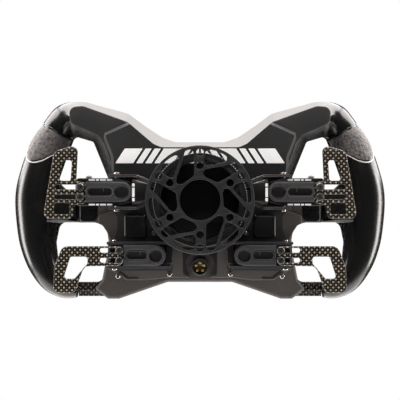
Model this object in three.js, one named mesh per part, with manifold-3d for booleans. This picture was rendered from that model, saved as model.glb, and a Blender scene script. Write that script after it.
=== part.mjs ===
// A formula-style racing wheel for a driving simulator, as the assembly it comes apart into.
//
// Frame: millimetres, +Z up, +Y towards the driver. The origin is the centre of the mounting disc's rear face,
// where the shaft of the wheelbase bolts on, so -Y faces the wheelbase.
//
// From rear to front: mounting disc, hub cup, four paddle units, two covers, two casings with the circuit board
// between them, the carbon front plate with a grip around each of its ends, and the controls on the plate.
// Left-hand pieces are made at -X, and the right-hand ones are their mirror images.

import * as THREE from "three";
import { mergeVertices } from "three/addons/utils/BufferGeometryUtils.js";
import Module from "manifold-3d";

const wasm = await Module();
wasm.setup();

// ---------------------------------------------------------------- driving dimensions

const GAP = 0.3; // between pieces that lie on each other
const ROUND = 3; // segments of a rounded corner
const FAR = 200; // beyond every piece

// Layers along Y
const DISC_FRONT = 6;
const COVER_REAR = 27;
const CASING_REAR = 31;
const ARM_REAR = 29.3; // of the upper cover outside its raised middle
const PLATE_REAR = 56;
const PLATE_FRONT = 60;
const BOARD_REAR = 46;
const BOARD_THICKNESS = 1.6;
const WALL = 2.4;

// Mounting disc and hub
const DISC_RADIUS = 40;
const BORE_RADIUS = 15;
const HUB_RADIUS = 31.5;
const HUB_FLOOR = 3.5;
const BOLT_CIRCLES = [25.4, 35]; // radii of the 50.8 mm and the 70 mm six-bolt patterns
const BOLT_HOLE = 2.75;
const SECTORS = 6;
const SPOKE_ANGLE = 30; // of the first spoke, in degrees from +X
const LOBE_ANGLE = 16; // of the hub cup's first screw lobe
const LOBE_CIRCLE = 27.5;

// Height of the joint between the upper and lower halves of the body
const SPLIT = 8;

// Paddle units: heights are half heights about z
const SHIFTER = {
  name: "shifter", z: 6, pivotX: -62.5, flange: 13, lever: 10.2, rib: 7.4, outer: -93, ribFrom: -84.4, inner: -51.5,
  boss: -58.4, eye: 5.2, groove: [-82.7, -66], block: -39, screwX: -89, magnet: -56.2,
};
const CLUTCH = {
  name: "clutch", z: -41.2, pivotX: -64, flange: 9.8, lever: 7.9, rib: 6.7, outer: -67.5, ribFrom: -56.2, inner: -26.2,
  boss: -33.2, eye: 4.8, groove: [-55, -40], block: -20.5, screwX: -60, magnet: null,
};
const PIVOT_Y = 20.5;
const PIN_RADIUS = 1.5;
const RUNNING = 0.08; // clearance of a pin or a screw in its hole
const LEVER_REAR = 12;
const SHOULDER = 16.6; // where a paddle lies on its lever
const LEVER_FRONT = 24;
const HOLDER_REAR = 15;
const HOLDER_FLOOR = 25.2;
const FLANGE_THICKNESS = 1.8;
const PADDLE_THICKNESS = 3.4;
const PADDLE_FRONT = SHOULDER - GAP;
const PADDLE_REAR = PADDLE_FRONT - PADDLE_THICKNESS;
const SCREW_SPREAD = 3.7; // each side of the unit's middle height
const SCREW_RADIUS = 1.5;
const SCREW_HEAD = 2.75;
const SLOT_HALF = 1.75;
const MAGNET_RADIUS = 3;

// Controls on the front plate, at [x, z]
const BUTTONS = [[-60, 27], [-41, 21], [-62, -3], [-62, -24]];
const BUTTON_CAP = 6.4;
const BUTTON_STEM = 4.6;
const BUTTON_TRAVEL = 1.2;
const KNOBS = { left_knob: [-40, -43], middle_knob: [0, -44], right_knob: [40, -43] };
const KNOB_RADIUS = 9.5;
const KNOB_STEM = 3;
const THUMB_WHEEL = { x: -81, y: 61.5, z: -4.8, radius: 9.5, half: 3.2 };
const LIGHT_BAR = { half: 44, low: 30.5, high: 38 };

// Sensor box on the lower cover, between the shifter and the clutch of each side
const SENSOR_BOX = { inner: -40.4, outer: -57, high: -11, low: -28.4, rear: 21.6 };

// Round connector in the lower cover
const SOCKET = { z: -50.6, recess: 11.4, flange: 8.6, shell: 6.6, bore: 5.3, depth: 7 };

// ---------------------------------------------------------------- outlines, as [x, z, corner radius], left half

// The edge of the whole wheel between the two grips, from the top's middle to the seam above the grip
const TOP_EDGE = [[-20, 44.4], [-28, 47.4], [-43, 57.4], [-54.6, 66.2], [-88.5, 75.6], [-99, 75.6, 8],
  [-112, 70, 8], [-119.8, 60.3]];
const UPPER_OPENING = [[-99, 47.2, 2], [-106.8, SPLIT - GAP / 2, 3], [-69.6, SPLIT - GAP / 2], [-70.6, 17.5],
  [-82.4, 45.2, 3], [-96.6, 49.4, 2]];
const LOWER_OPENING = [[-109, -17.2, 5], [-112.4, -33, 9], [-107.5, -51.5, 6], [-92.6, -64.2, 3], [-76.4, -64.2, 6],
  [-69.8, -35, 8], [-70.4, -17.2, 13]];
const BOTTOM_EDGE = [[-61.6, -75.2], [-24.4, -62.4]];

const UPPER_COVER = [[0, 39.8], [-29.5, 40.4], [-35.4, 42.6], [-55.1, 59.4], [-88.6, 71.4], [-98.5, 70, 5],
  [-97.4, 59.5, 5], [-77.6, 49.6], [-73.4, 43], [-66, 24], [-65.5, SPLIT + 1]];
const RAISED_MIDDLE = [[-20, 50], [-46, 63], [-72.6, 50.8], [-73, 46.4], [-67.4, 32], [-66.2, 5]];
const LOWER_COVER = [[-66, SPLIT - 1], [-66, -8], [-77, -12, 3], [-77, -19, 4], [-66, -30], [-69, -51.8],
  [-61.4, -56.6], [-55.6, -60.6], [-40, -60.6], [-25, -58.8]];

const SHIFTER_PADDLE = [[-108.4, 36.4, 7], [-116.8, -14.2, 5], [-94.6, -14.2, 5], [-93.6, -3.6, 2], [-84.8, -2.4, 3],
  [-85, 12.6, 2.5], [-92.2, 14.2, 1.5], [-90.8, 41, 4]];
const SHIFTER_WINDOWS = [[[-102, 29.6, 2.5], [-104.8, 14.4, 1.5], [-96.2, 14.4, 1.5], [-95.2, 29.6, 2]],
  [[-108.4, -2.2, 1.5], [-108.8, -10.7, 1.5], [-96.8, -10.7, 1.5], [-96.8, -2.2, 1.5]]];
const CLUTCH_PADDLE = [[-102.5, -34.4, 6], [-108.4, -50], [-109, -69, 4], [-93.4, -69.2, 3], [-86.4, -49.4, 5],
  [-57.4, -48.8, 4], [-57, -34.4, 3]];
const CLUTCH_WINDOWS = [[[-96.6, -42.2, 2], [-101.8, -58.6, 2], [-93.4, -58.6, 2], [-83.8, -47.4, 2],
  [-83.4, -42.2, 2]]];

// A grip's line: [x, z, half width, half depth], from the seam at its top to its lower end
const GRIP = [[-109.9, 53, 12.4, 13], [-117, 40, 14.4, 15], [-121.8, 22, 17, 16.5], [-124.6, 4, 18.2, 17],
  [-125, -17, 17, 17], [-125.2, -33, 14.2, 16.5], [-120.8, -49, 12.4, 15.5], [-112.6, -62, 10.6, 14],
  [-103.6, -69.4, 6.8, 11.5], [-95, -70.9, 4.7, 9]];
const GRIP_MIDDLE_Y = 50;
const SEAM_TILT = 28.6; // degrees, across the grip's line at its seam
const HOLLOW_HALF = 96; // the casing is solid outside this, where a grip is screwed to it
const PAD = [[-107.6, 50.4], [-129.6, 62.4], [-138, 40], [-132.8, 39.4, 2], [-125, 29, 6], [-115.5, 31, 6],
  [-108.8, 38, 3]];
const PAD_THICKNESS = 1.3;

// ---------------------------------------------------------------- materials

const finish = (color, roughness, metalness = 0) => new THREE.MeshStandardMaterial({ color, roughness, metalness });
const SATIN_BLACK = finish(0x0e0e0f, 0.35);
const MATT_BLACK = finish(0x1b1b1c, 0.75);
const NYLON_GREY = finish(0x383634, 0.7);
const MODULE_GREY = finish(0x46464a, 0.45, 0.6);
const CARBON = finish(0x2a2621, 0.35);
const GRIP_BLACK = finish(0x0c0c0c, 0.4);
const PAD_GREY = finish(0x4a4644, 0.8);
const ANODISED = finish(0x2c2d2f, 0.42, 0.9);
const STEEL = finish(0xb9b4ae, 0.3, 1);
const CIRCUIT_GREEN = finish(0x16402c, 0.6);
const SMOKED = finish(0x101114, 0.1);

// ---------------------------------------------------------------- helpers

// A closed outline in the XZ plane from corners [x, z, radius].
function outline(corners) {
  const shape = new THREE.Shape();
  const points = corners.map(([x, z]) => new THREE.Vector2(x, z));
  corners.forEach(([, , radius = 0], i) => {
    const corner = points[i];
    const before = points[(i + points.length - 1) % points.length].clone().sub(corner);
    const after = points[(i + 1) % points.length].clone().sub(corner);
    const turn = before.angleTo(after) / 2;
    const reach = Math.min(radius / Math.tan(turn), 0.48 * before.length(), 0.48 * after.length());
    const from = before.setLength(reach).add(corner);
    const to = after.setLength(reach).add(corner);
    const start = radius > 0 ? from : corner;
    if (i === 0) shape.moveTo(start.x, start.y);
    else shape.lineTo(start.x, start.y);
    if (radius > 0) shape.quadraticCurveTo(corner.x, corner.y, to.x, to.y);
  });
  shape.closePath();
  return shape;
}

// The left half of an outline followed by its mirror image.
const whole = (left) => [...left, ...left.filter(([x]) => x !== 0).map(([x, z, r]) => [-x, z, r]).reverse()];

// An outline of the XZ plane as a slab from y = rear to y = front: its two edges are chamfered by bevel, or its
// outline is drawn in by inset.
function slab(shape, rear, front, { bevel = 0, inset = 0, steps = 1 } = {}) {
  const geometry = new THREE.ExtrudeGeometry(shape, {
    depth: front - rear - 2 * bevel,
    curveSegments: ROUND,
    bevelEnabled: bevel > 0 || inset !== 0,
    bevelThickness: bevel,
    bevelSize: bevel,
    bevelOffset: -bevel - inset,
    bevelSegments: bevel > 0 ? steps : 0,
  });
  return geometry.rotateX(Math.PI / 2).translate(0, front - bevel, 0);
}

const box = (x0, x1, y0, y1, z0, z1) =>
  new THREE.BoxGeometry(x1 - x0, y1 - y0, z1 - z0).translate((x0 + x1) / 2, (y0 + y1) / 2, (z0 + z1) / 2);

// A solid of revolution about a line along Y at (x, z), from [radius, y] pairs that start and end on the line.
const turned = (profile, x = 0, z = 0, segments = 20) =>
  new THREE.LatheGeometry(profile.map(([radius, y]) => new THREE.Vector2(radius, y)), segments).translate(x, 0, z);

const rod = (radius, rear, front, x = 0, z = 0, segments = 20) =>
  turned([[0, rear], [radius, rear], [radius, front], [0, front]], x, z, segments);

// The same about a line along Z, from [radius, z] pairs.
const turnedUp = (profile, x, y, segments = 16) =>
  new THREE.LatheGeometry(profile.map(([radius, z]) => new THREE.Vector2(radius, z)), segments)
    .rotateX(Math.PI / 2)
    .translate(x, y, 0);

const rodUp = (radius, low, high, x, y) => turnedUp([[0, low], [radius, low], [radius, high], [0, high]], x, y);

function solid(geometry) {
  const bare = geometry.index ? geometry.toNonIndexed() : geometry.clone();
  bare.deleteAttribute("normal");
  bare.deleteAttribute("uv");
  const merged = mergeVertices(bare, 1e-4);
  const corners = merged.index.array;
  const faces = [];
  for (let i = 0; i < corners.length; i += 3) {
    const [a, b, c] = corners.slice(i, i + 3);
    if (a !== b && b !== c && c !== a) faces.push(a, b, c);
  }
  const position = merged.attributes.position.array;
  return new wasm.Manifold(
    new wasm.Mesh({ numProp: 3, vertProperties: position, triVerts: new Uint32Array(faces) }),
  );
}

function geometryOf(made) {
  const mesh = made.getMesh();
  return new THREE.BufferGeometry()
    .setAttribute("position", new THREE.BufferAttribute(new Float32Array(mesh.vertProperties), 3))
    .setIndex(new THREE.BufferAttribute(new Uint32Array(mesh.triVerts), 1));
}

const join = (...geometries) => geometryOf(geometries.map(solid).reduce((a, b) => a.add(b)));
const cut = (geometry, ...cutters) => geometryOf(cutters.map(solid).reduce((a, b) => a.subtract(b), solid(geometry)));
const common = (a, b) => geometryOf(solid(a).intersect(solid(b)));

function mirrored(geometry) {
  const copy = (geometry.index ? geometry.toNonIndexed() : geometry.clone()).scale(-1, 1, 1);
  const array = copy.attributes.position.array;
  for (let i = 0; i < array.length; i += 9) {
    const second = array.slice(i + 3, i + 6);
    array.copyWithin(i + 3, i + 6, i + 9);
    array.set(second, i + 6);
  }
  const bare = new THREE.BufferGeometry();
  return bare.setAttribute("position", copy.attributes.position);
}

// A slab with only its rear edge rounded, in steps, or chamfered.
const rearRounded = (shape, rear, front, bevel, steps = 1) =>
  common(slab(shape, rear, front + 2 * bevel, { bevel, steps }), box(-FAR, FAR, rear - 1, front, -FAR, FAR));

const degrees = (angle) => (angle * Math.PI) / 180;

const onCircle = (radius, angle) => [radius * Math.cos(degrees(angle)), radius * Math.sin(degrees(angle))];

// ---------------------------------------------------------------- mounting disc and hub cup

// One sixth of the lightening pattern, as [radius, degrees past the spoke, corner radius]: a large pocket that
// sweeps from the bore to the rim, and a smaller one under the slanting strut beside it.
const LARGE_POCKET = [[18.2, 14, 2], [17.2, 47, 2], [20.6, 56, 2.5], [23.2, 49, 2], [29.8, 26.6, 4], [38, 17, 2.5],
  [38, 8.5, 2.5], [33, 7.5, 3]];
const SMALL_POCKET = [[25.2, 49, 1.5], [28.6, 54, 2], [36.2, 53.6, 2.5], [38, 45], [38, 36], [37.9, 28, 2.5],
  [34.4, 25.4, 2.5], [31, 31, 5]];

function mountingDisc() {
  const profile = [[BORE_RADIUS, 0.4], [BORE_RADIUS + 0.4, 0], [DISC_RADIUS - 0.6, 0], [DISC_RADIUS, 0.6],
    [DISC_RADIUS, DISC_FRONT - 0.6], [DISC_RADIUS - 0.6, DISC_FRONT], [BORE_RADIUS, DISC_FRONT], [BORE_RADIUS, 0.4]];
  const cutters = [];
  for (let sector = 0; sector < SECTORS; sector += 1) {
    const spoke = SPOKE_ANGLE + (360 / SECTORS) * sector;
    for (const pocket of [LARGE_POCKET, SMALL_POCKET]) {
      const corners = pocket.map(([radius, past, round]) => [...onCircle(radius, spoke + past), round]);
      cutters.push(slab(outline(corners), -1, DISC_FRONT + 1));
    }
    for (const circle of BOLT_CIRCLES) {
      cutters.push(rod(BOLT_HOLE, -1, DISC_FRONT + 1, ...onCircle(circle, spoke), 12));
    }
  }
  return cut(turned(profile, 0, 0, 60), ...cutters);
}

// The cup between the disc and the front plate, with six screw lobes inside its wall.
function hubCup() {
  const rear = DISC_FRONT + GAP;
  const front = PLATE_REAR - GAP;
  const lobes = [];
  const holes = [];
  for (let sector = 0; sector < SECTORS; sector += 1) {
    const [x, z] = onCircle(LOBE_CIRCLE, LOBE_ANGLE + (360 / SECTORS) * sector);
    lobes.push(rod(3.6, rear, front - 1, x, z, 14));
    holes.push(rod(1.6, rear - 1, rear + 12, x, z, 10));
  }
  const wall = cut(rod(HUB_RADIUS, rear, front, 0, 0, 48), rod(HUB_RADIUS - WALL, rear - 1, front - HUB_FLOOR, 0, 0, 48));
  return cut(join(wall, ...lobes), ...holes);
}

const hubHole = () => rod(HUB_RADIUS + GAP, COVER_REAR - 5, PLATE_REAR, 0, 0, 48);

// ---------------------------------------------------------------- body

// What lies past a grip's seam: a block on the seam's plane, turned as the seam is.
function beyondSeam() {
  const [x, z, width] = GRIP[0];
  const block = box(-width - 6, width + 3, CASING_REAR - 2, PLATE_REAR + 2, -30, 0);
  return block.rotateY(degrees(SEAM_TILT)).translate(x, 0, z + GAP);
}

// The upper casing is an arch open to the front plate, from one grip's seam to the other's. Its outline runs on
// past each seam and is sawn off there.
function upperCasing() {
  const left = [...TOP_EDGE.slice(0, 7), [-121.5, 59.2], [-131, 44], [-102.6, 38], [-99, 47.2], [-96.6, 49.4],
    [-82.4, 45.2], [-70.6, 17.5], [-69.6, SPLIT + GAP / 2]];
  const shape = outline(whole(left));
  const shell = rearRounded(shape, CASING_REAR, PLATE_REAR - GAP, 6, 2);
  const arch = common(
    slab(shape, CASING_REAR + WALL + 4, PLATE_REAR + 1, { inset: WALL }),
    box(-HOLLOW_HALF, HOLLOW_HALF, 0, PLATE_REAR + 2, -FAR, FAR),
  );
  return cut(shell, arch, beyondSeam(), mirrored(beyondSeam()), hubHole());
}

function upperCover() {
  const shape = outline(whole(UPPER_COVER));
  const arms = slab(shape, ARM_REAR, CASING_REAR - GAP);
  const middle = rearRounded(outline(whole(RAISED_MIDDLE)), COVER_REAR, CASING_REAR - GAP, ARM_REAR - COVER_REAR);
  return cut(join(arms, common(middle, slab(shape, COVER_REAR - 1, CASING_REAR - GAP))), hubHole());
}

// The lower casing carries the four paddle units and reaches out to both grips above the lower openings.
function lowerCasing() {
  const left = [[-91.4, SPLIT - GAP / 2], [-91.4, -17.2], [-70.4, -17.2, 13], [-69.8, -35, 8],
    [-75.9, -62], [-77.6, -66], [-66, -75.2], ...BOTTOM_EDGE];
  const shape = outline(whole(left));
  const shell = rearRounded(shape, CASING_REAR, PLATE_REAR - GAP, 2.6);
  const hollow = slab(shape, CASING_REAR + WALL, PLATE_REAR + 1, { inset: WALL });
  return cut(shell, hollow, hubHole(), rod(SOCKET.recess, COVER_REAR, CASING_REAR + WALL + 1, 0, SOCKET.z, 24));
}

function lowerCover() {
  const shell = slab(outline(whole(LOWER_COVER)), COVER_REAR, CASING_REAR - GAP, { bevel: 0.6 });
  const recess = common(
    rod(SOCKET.recess, COVER_REAR - 1, CASING_REAR + 1, 0, SOCKET.z, 24),
    box(-FAR, FAR, 0, PLATE_REAR, SOCKET.z - 7.6, FAR),
  );
  return cut(shell, hubHole(), recess);
}

function sensorBox() {
  const { inner, outer, high, low, rear } = SENSOR_BOX;
  return slab(outline([[outer, high, 2], [outer, low, 2], [inner, low, 2], [inner, high, 2]]), rear, COVER_REAR - GAP,
    { bevel: 1 });
}

function socketShell() {
  const rear = COVER_REAR + 0.5;
  const seat = CASING_REAR + WALL + 3;
  const profile = [[SOCKET.bore, rear], [SOCKET.shell, rear], [SOCKET.shell, seat], [SOCKET.flange, seat],
    [SOCKET.flange, seat + 2], [SOCKET.bore, seat + 2], [SOCKET.bore, rear]];
  return turned(profile, 0, SOCKET.z, 24);
}

const socketInsert = () =>
  rod(SOCKET.bore - GAP, COVER_REAR + SOCKET.depth, BOARD_REAR - GAP, 0, SOCKET.z, 20);

function circuitBoard() {
  const board = box(-60, 60, BOARD_REAR, BOARD_REAR + BOARD_THICKNESS, -57, 2);
  return cut(board, rod(HUB_RADIUS + 2, BOARD_REAR - 1, BOARD_REAR + 3, 0, 0, 32));
}

// The front plate runs into a slot in each grip, and grow widens that slot.
const plateEdge = (grow) => [...TOP_EDGE.slice(0, 6).map(([x, z]) => [x, z + grow]),
  [-110 - grow, 68 + grow], [-114 - grow, 50], [-121 - grow, 30], [-124 - grow, 4], [-124 - grow, -18],
  [-121 - grow, -40], [-112 - grow, -60 - grow], [-104 - grow, -70.5 - grow], [-95 + GAP, -72 - grow],
  [-95 + GAP, -75.2 - grow], ...BOTTOM_EDGE.map(([x, z]) => [x, z - grow])];

function frontPlate() {
  const holes = [];
  for (const opening of [UPPER_OPENING, LOWER_OPENING]) {
    const window = slab(outline(opening), PLATE_REAR - 1, PLATE_FRONT + 1);
    holes.push(window, mirrored(window));
  }
  for (const side of [1, -1]) {
    for (const [x, z] of BUTTONS) holes.push(throughPlate(BUTTON_STEM + GAP, side * x, z));
    const { x, z, radius, half } = THUMB_WHEEL;
    const [inner, outer] = [side * x - half - 0.6, side * x + half + 0.6];
    holes.push(box(inner, outer, PLATE_REAR - 1, PLATE_FRONT + 1, z - radius - 0.6, z + radius + 0.6));
  }
  for (const [x, z] of Object.values(KNOBS)) holes.push(throughPlate(KNOB_STEM + GAP, x, z));
  return cut(slab(outline(whole(plateEdge(0))), PLATE_REAR, PLATE_FRONT), ...holes);
}

const throughPlate = (radius, x, z) => rod(radius, PLATE_REAR - 1, PLATE_FRONT + 1, x, z, 16);

// ---------------------------------------------------------------- grips

// A bent bar of rounded section along the grip's line, drawn in by inset.
function gripBar(inset = 0, rings = 18, around = 16) {
  const curve = (pick) => new THREE.CatmullRomCurve3(GRIP.map(pick), false, "centripetal");
  const line = curve(([x, z]) => new THREE.Vector3(x, 0, z));
  const sizes = curve(([x, z, width, depth]) => new THREE.Vector3(x + width, depth, z));
  const positions = [];
  for (let i = 0; i <= rings; i += 1) {
    const t = i / rings;
    const [middle, along, size] = [line.getPoint(t), line.getTangent(t), sizes.getPoint(t)];
    const width = size.x - middle.x - inset;
    const depth = size.y - inset;
    for (let k = 0; k < around; k += 1) {
      const angle = (2 * Math.PI * k) / around;
      const [u, v] = [Math.cos(angle), Math.sin(angle)].map((c) => Math.sign(c) * Math.abs(c) ** 0.85);
      positions.push(middle.x + along.z * width * u, GRIP_MIDDLE_Y + depth * v, middle.z - along.x * width * u);
    }
  }
  const faces = [];
  for (let i = 0; i < rings * around; i += 1) {
    const next = i % around === around - 1 ? i + 1 - around : i + 1;
    faces.push(i, next, i + around, next, next + around, i + around);
  }
  for (let k = 1; k < around - 1; k += 1) {
    faces.push(0, k + 1, k, rings * around, rings * around + k, rings * around + k + 1);
  }
  return new THREE.BufferGeometry()
    .setAttribute("position", new THREE.BufferAttribute(new Float32Array(positions), 3))
    .setIndex(faces);
}

function grip() {
  const body = outline([[-91.7, SPLIT - GAP / 2], [-116, SPLIT - GAP / 2], [-116, -17.2], [-91.7, -17.2]]);
  const arm = slab(body, CASING_REAR + 4, PLATE_REAR - GAP, { bevel: 2 });
  const plateSlot = cut(slab(outline(plateEdge(GAP)), PLATE_REAR - GAP, PLATE_FRONT + GAP), box(-94, FAR, 0, 99, -FAR, FAR));
  const padRecess = cut(slab(outline(PAD), 20, GRIP_MIDDLE_Y - 4), gripBar(PAD_THICKNESS + GAP));
  return cut(join(gripBar(), arm), plateSlot, padRecess);
}

function gripPad() {
  const blank = slab(outline(PAD), 20, GRIP_MIDDLE_Y - 4 - GAP, { inset: GAP });
  return cut(common(blank, gripBar()), gripBar(PAD_THICKNESS));
}

// ---------------------------------------------------------------- paddle units

// The holder is a channel on the casing: a floor, two flanges that carry the pivot pin, and a block at its inner
// end.
function holder(unit) {
  const { z, flange, pivotX, inner, block } = unit;
  const floorTop = COVER_REAR - GAP;
  const outerEnd = pivotX - 5.5;
  const taper = 3.4;
  const floor = outline([[outerEnd, z + flange], [outerEnd, z - flange], [inner + 4, z - flange],
    [block, z - flange + taper], [block, z + flange - taper], [inner + 4, z + flange]]);
  const inward = outline([[inner + 1.2, z + flange - 3.4], [inner + 1.2, z - flange + 3.4],
    [block, z - flange + 2 * taper], [block, z + flange - 2 * taper]]);
  const channel = [slab(floor, HOLDER_FLOOR, floorTop), slab(inward, HOLDER_REAR + 1, HOLDER_FLOOR + 0.5)];
  for (const side of [1, -1]) {
    const [near, away] = [z + side * (flange - FLANGE_THICKNESS), z + side * flange];
    const [low, high] = [Math.min(near, away), Math.max(near, away)];
    channel.push(box(outerEnd, inner + 4, HOLDER_REAR, HOLDER_FLOOR + 0.5, low, high));
  }
  return cut(join(...channel), rodUp(PIN_RADIUS + RUNNING, z - FAR, z + FAR, pivotX, PIVOT_Y));
}

function pivotPin({ z, flange, pivotX }) {
  const end = flange + GAP;
  const profile = [[0, -end - 1.2], [2.1, -end - 1.2], [2.1, -end], [PIN_RADIUS, -end], [PIN_RADIUS, end], [2.1, end],
    [2.1, end + 1.2], [0, end + 1.2]];
  return turnedUp(profile.map(([radius, height]) => [radius, z + height]), pivotX, PIVOT_Y);
}

// The lever is a block with a raised rib whose rounded inner end holds an eye. The paddle is screwed to the block's
// outer end.
function lever(unit) {
  const { z, pivotX, rib, outer, ribFrom, inner, boss, eye, groove, screwX, magnet } = unit;
  const ridge = new THREE.Shape();
  ridge.moveTo(ribFrom, z + rib);
  ridge.lineTo(ribFrom, z - rib);
  ridge.lineTo(boss, z - rib);
  ridge.absarc(boss, z, rib, -Math.PI / 2, Math.PI / 2, false);
  ridge.closePath();
  const block = box(outer, inner, SHOULDER, LEVER_FRONT, z - unit.lever, z + unit.lever);
  const cutters = [
    rodUp(PIN_RADIUS + RUNNING, z - FAR, z + FAR, pivotX, PIVOT_Y),
    rod(eye, LEVER_REAR - 1, SHOULDER + 0.6, boss, z, 24),
    box(groove[0], groove[1], LEVER_REAR - 1, LEVER_REAR + 2.2, z - 2.2, z + 2.2),
  ];
  for (const side of [1, -1]) {
    cutters.push(rod(SCREW_RADIUS + RUNNING, SHOULDER - 1, LEVER_FRONT + 1, screwX, z + side * SCREW_SPREAD, 12));
  }
  if (magnet) cutters.push(rod(MAGNET_RADIUS + GAP, LEVER_FRONT - 3.6, LEVER_FRONT + 1, magnet, z, 16));
  return cut(join(block, slab(ridge, LEVER_REAR, SHOULDER + 1)), ...cutters);
}

const leverMagnet = ({ magnet, z }) => rod(MAGNET_RADIUS, LEVER_FRONT - 3.3, LEVER_FRONT - 0.3, magnet, z, 16);

// A flat paddle with lightening windows and two slots, along which it is set nearer to the grip or further away.
function paddle(unit, edge, windows, [outerEnd, innerEnd]) {
  const slots = [1, -1].map((side) => {
    const z = unit.z + side * SCREW_SPREAD;
    return [[outerEnd, z + SLOT_HALF, SLOT_HALF], [outerEnd, z - SLOT_HALF, SLOT_HALF],
      [innerEnd, z - SLOT_HALF, SLOT_HALF], [innerEnd, z + SLOT_HALF, SLOT_HALF]];
  });
  const cutters = [...windows, ...slots].map((hole) => slab(outline(hole), PADDLE_REAR - 1, PADDLE_FRONT + 1));
  return cut(slab(outline(edge), PADDLE_REAR, PADDLE_FRONT), ...cutters);
}

function paddleScrew(unit, side) {
  const rear = PADDLE_REAR - 0.1;
  const profile = [[0, rear - 1.7], [1.5, rear - 1.6], [2.4, rear - 1], [SCREW_HEAD, rear], [SCREW_RADIUS, rear],
    [SCREW_RADIUS, LEVER_FRONT - 1], [0, LEVER_FRONT - 1]];
  return turned(profile, unit.screwX, unit.z + side * SCREW_SPREAD, 14);
}

// ---------------------------------------------------------------- controls on the front plate

function button([x, z]) {
  const [rear, front] = [PLATE_FRONT + GAP + BUTTON_TRAVEL, PLATE_FRONT + 6.5];
  const profile = [[0, 50], [BUTTON_STEM, 50], [BUTTON_STEM, rear], [BUTTON_CAP, rear], [BUTTON_CAP, front - 1],
    [BUTTON_CAP - 1, front], [0, front - 0.4]];
  return turned(profile, x, z, 16);
}

function knob([x, z]) {
  const rear = PLATE_FRONT + GAP;
  const shaft = turned([[0, 50], [KNOB_STEM, 50], [KNOB_STEM, rear], [KNOB_RADIUS, rear], [KNOB_RADIUS, rear + 2],
    [KNOB_RADIUS - 1.4, rear + 3], [KNOB_RADIUS - 2, rear + 12], [KNOB_RADIUS - 3, rear + 13], [0, rear + 13]], x, z, 24);
  return cut(shaft, box(x - 0.6, x + 0.6, rear + 11.5, rear + 14, z, z + KNOB_RADIUS));
}

// A ribbed wheel on a shaft along X, whose rim stands out of its slot under the thumb.
function thumbWheel() {
  const { x, y, z, radius, half } = THUMB_WHEEL;
  const profile = [[0, -half], [radius - 0.8, -half], [radius, -half + 0.8], [radius, half - 0.8], [radius - 0.8, half],
    [0, half]];
  const wheel = new THREE.LatheGeometry(profile.map(([r, h]) => new THREE.Vector2(r, h)), 18);
  return wheel.rotateZ(Math.PI / 2).translate(x, y, z);
}

const lightBar = () => {
  const { half, low, high } = LIGHT_BAR;
  return slab(outline([[-half, high], [-half, low], [half, low], [half, high]]), PLATE_FRONT + GAP, PLATE_FRONT + 4,
    { bevel: 1 });
};

// ---------------------------------------------------------------- assembly

const wheel = new THREE.Group();

function add(name, geometry, material) {
  const mesh = new THREE.Mesh(geometry, material);
  mesh.name = name;
  wheel.add(mesh);
}

function addPair(name, geometry, material) {
  add(`left_${name}`, geometry, material);
  add(`right_${name}`, mirrored(geometry), material);
}

add("mounting_disc", mountingDisc(), ANODISED);
add("hub_cup", hubCup(), ANODISED);
add("upper_cover", upperCover(), MATT_BLACK);
add("upper_casing", upperCasing(), SATIN_BLACK);
add("lower_cover", lowerCover(), NYLON_GREY);
add("lower_casing", lowerCasing(), NYLON_GREY);
addPair("sensor_box", sensorBox(), MATT_BLACK);
add("socket_shell", socketShell(), SATIN_BLACK);
add("socket_insert", socketInsert(), MATT_BLACK);
add("circuit_board", circuitBoard(), CIRCUIT_GREEN);
add("front_plate", frontPlate(), CARBON);
addPair("grip", grip(), GRIP_BLACK);
addPair("grip_pad", gripPad(), PAD_GREY);

for (const unit of [SHIFTER, CLUTCH]) {
  addPair(`${unit.name}_holder`, holder(unit), MODULE_GREY);
  addPair(`${unit.name}_pivot_pin`, pivotPin(unit), STEEL);
  addPair(`${unit.name}_lever`, lever(unit), MODULE_GREY);
  addPair(`${unit.name}_upper_screw`, paddleScrew(unit, 1), STEEL);
  addPair(`${unit.name}_lower_screw`, paddleScrew(unit, -1), STEEL);
}
addPair("shifter_magnet", leverMagnet(SHIFTER), STEEL);
addPair("shifter_paddle", paddle(SHIFTER, SHIFTER_PADDLE, SHIFTER_WINDOWS, [-108.4, -87.2]), CARBON);
addPair("clutch_paddle", paddle(CLUTCH, CLUTCH_PADDLE, CLUTCH_WINDOWS, [-74.6, -58.2]), CARBON);

BUTTONS.forEach((place, i) => addPair(`button_${i + 1}`, button(place), GRIP_BLACK));
for (const [name, place] of Object.entries(KNOBS)) add(name, knob(place), SATIN_BLACK);
addPair("thumb_wheel", thumbWheel(), GRIP_BLACK);
add("light_bar", lightBar(), SMOKED);

export default wheel;
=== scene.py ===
import math

import bmesh
import bpy
import numpy as np
from mathutils import Matrix, Vector
from mathutils.geometry import delaunay_2d_cdt


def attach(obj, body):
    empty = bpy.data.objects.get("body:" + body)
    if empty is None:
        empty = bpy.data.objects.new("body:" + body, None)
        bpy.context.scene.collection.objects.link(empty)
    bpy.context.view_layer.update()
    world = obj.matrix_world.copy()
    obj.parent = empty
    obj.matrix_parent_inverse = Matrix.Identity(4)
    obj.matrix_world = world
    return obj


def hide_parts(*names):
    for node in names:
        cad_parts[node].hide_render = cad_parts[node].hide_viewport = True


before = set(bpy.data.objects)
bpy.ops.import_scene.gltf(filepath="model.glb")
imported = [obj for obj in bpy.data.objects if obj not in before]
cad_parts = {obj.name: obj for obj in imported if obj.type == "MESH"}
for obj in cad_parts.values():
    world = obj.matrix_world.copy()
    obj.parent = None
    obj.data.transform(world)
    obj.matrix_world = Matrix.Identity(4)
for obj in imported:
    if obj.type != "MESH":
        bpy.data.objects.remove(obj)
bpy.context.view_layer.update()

# ------------------------------------------------------------------------------------ studio
# A pale floor under the wheel and a white room behind it. Softboxes hang overhead, and a tall one stands at
# each side, and soft fill lights face the back and the front of the wheel.

MM = 0.001
SIDES = (("left", 1), ("right", -1))  # the left-hand pieces are at -X, and -1 mirrors them

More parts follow.
